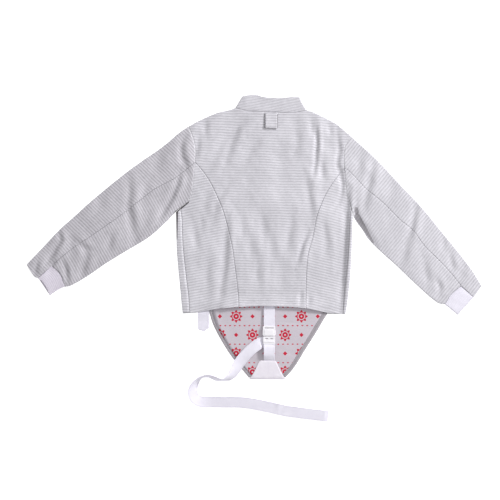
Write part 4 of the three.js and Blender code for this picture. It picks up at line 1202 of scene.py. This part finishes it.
buckle_part("buckle_plug_bar", "buckle_male", rounded(buckle_left + 3, buckle_right - 3, -357.5, -352.5, 2),
            (buckle_high - 2, buckle_high + 0.5), bevel=0.8 * MM)


# Sewing: lock stitches in polyester thread, 2.5 mm long and 3.4 mm apart, repeated by Geometry Nodes
# along the lines kept above. The near-black stitches along the tab's sides, painted shade at its
# edges, are closer and broader.
def add_stitches(name, lines, material, slot, spacing=3.4 * MM, half_length=1.25 * MM, half_width=0.3 * MM):
    """Small flattened stitches set end to end along lines in mm."""
    points, edges = [], []
    for line in lines:
        start = len(points)
        points += [(x * MM, y * MM, (z + 0.1) * MM) for x, y, z in line]
        edges += [(start + i, start + i + 1) for i in range(len(line) - 1)]
    mesh = bpy.data.meshes.new(name + "_lines")
    mesh.from_pydata(points, edges, [])
    source = bpy.data.objects.new(name + "_lines", mesh)
    scene.collection.objects.link(source)
    tree = bpy.data.node_groups.new(name, "GeometryNodeTree")
    tree.interface.new_socket("Lines", in_out="INPUT", socket_type="NodeSocketGeometry")
    spacing_socket = tree.interface.new_socket("Spacing", in_out="INPUT", socket_type="NodeSocketFloat")
    tree.interface.new_socket("Stitches", in_out="OUTPUT", socket_type="NodeSocketGeometry")
    enter = tree.nodes.new("NodeGroupInput")
    leave = tree.nodes.new("NodeGroupOutput")
    curve = add_node(tree, "GeometryNodeMeshToCurve", {"Mesh": enter.outputs["Lines"]})
    stepped = add_node(tree, "GeometryNodeResampleCurve", {"Curve": curve.outputs["Curve"],
                                                           "Length": enter.outputs["Spacing"]}, mode="LENGTH")
    along = add_node(tree, "GeometryNodeInputTangent")
    turn = add_node(tree, "FunctionNodeAlignRotationToVector", {"Vector": along.outputs["Tangent"]}, axis="X")
    ball = add_node(tree, "GeometryNodeMeshIcoSphere", {"Radius": 1.0, "Subdivisions": 1})
    shape = add_node(tree, "GeometryNodeTransform", {"Geometry": ball.outputs["Mesh"],
                                                     "Scale": (half_length, half_width, 0.22 * MM)})
    placed = add_node(tree, "GeometryNodeInstanceOnPoints", {
        "Points": stepped.outputs["Curve"], "Instance": shape.outputs["Geometry"],
        "Rotation": turn.outputs["Rotation"]})
    real = add_node(tree, "GeometryNodeRealizeInstances", {"Geometry": placed.outputs["Instances"]})
    painted = add_node(tree, "GeometryNodeSetMaterial", {"Geometry": real.outputs["Geometry"],
                                                         "Material": material})
    tree.links.new(painted.outputs["Geometry"], leave.inputs["Stitches"])
    modifier = source.modifiers.new("stitches", "NODES")
    modifier.node_group = tree
    modifier[spacing_socket.identifier] = spacing
    graph = bpy.context.evaluated_depsgraph_get()
    sewn_mesh = bpy.data.meshes.new_from_object(source.evaluated_get(graph))
    bpy.data.objects.remove(source)
    sewn = bpy.data.objects.new(name, sewn_mesh)
    sewn_mesh.materials.clear()
    sewn_mesh.materials.append(material)
    scene.collection.objects.link(sewn)
    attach(sewn, "root")


for name, lines, colour, slot, sizes in (
        ("grey_stitches", grey_thread, "#C3BFC5", "lame_cloth", ()),
        ("white_stitches", white_thread, "#EDE9F3", "webbing", ()),
        # The near-black rows along the tab's sides are painted shade.
        ("tab_edge_painted_shade", tab_edge_shade_lines, "#3B343A", "lame_cloth", (1.5 * MM, 0.95 * MM, 0.9 * MM))):
    thread, tree, surface = new_material(name + "_thread", Roughness=0.6)
    place = add_node(tree, "ShaderNodeTexCoord").outputs["Object"]
    twist = add_node(tree, NOISE, {"Vector": place, "Scale": 900, "Detail": 2})
    worn = tuple(min(1, 1.3 * part) for part in linear(colour))
    shade = add_node(tree, "ShaderNodeMix", {"Factor": twist, "A": linear(colour), "B": worn},
                     data_type="RGBA")
    tree.links.new(shade.outputs["Result"], surface.inputs["Base Color"])
    add_stitches(name, lines, thread, slot, *sizes)
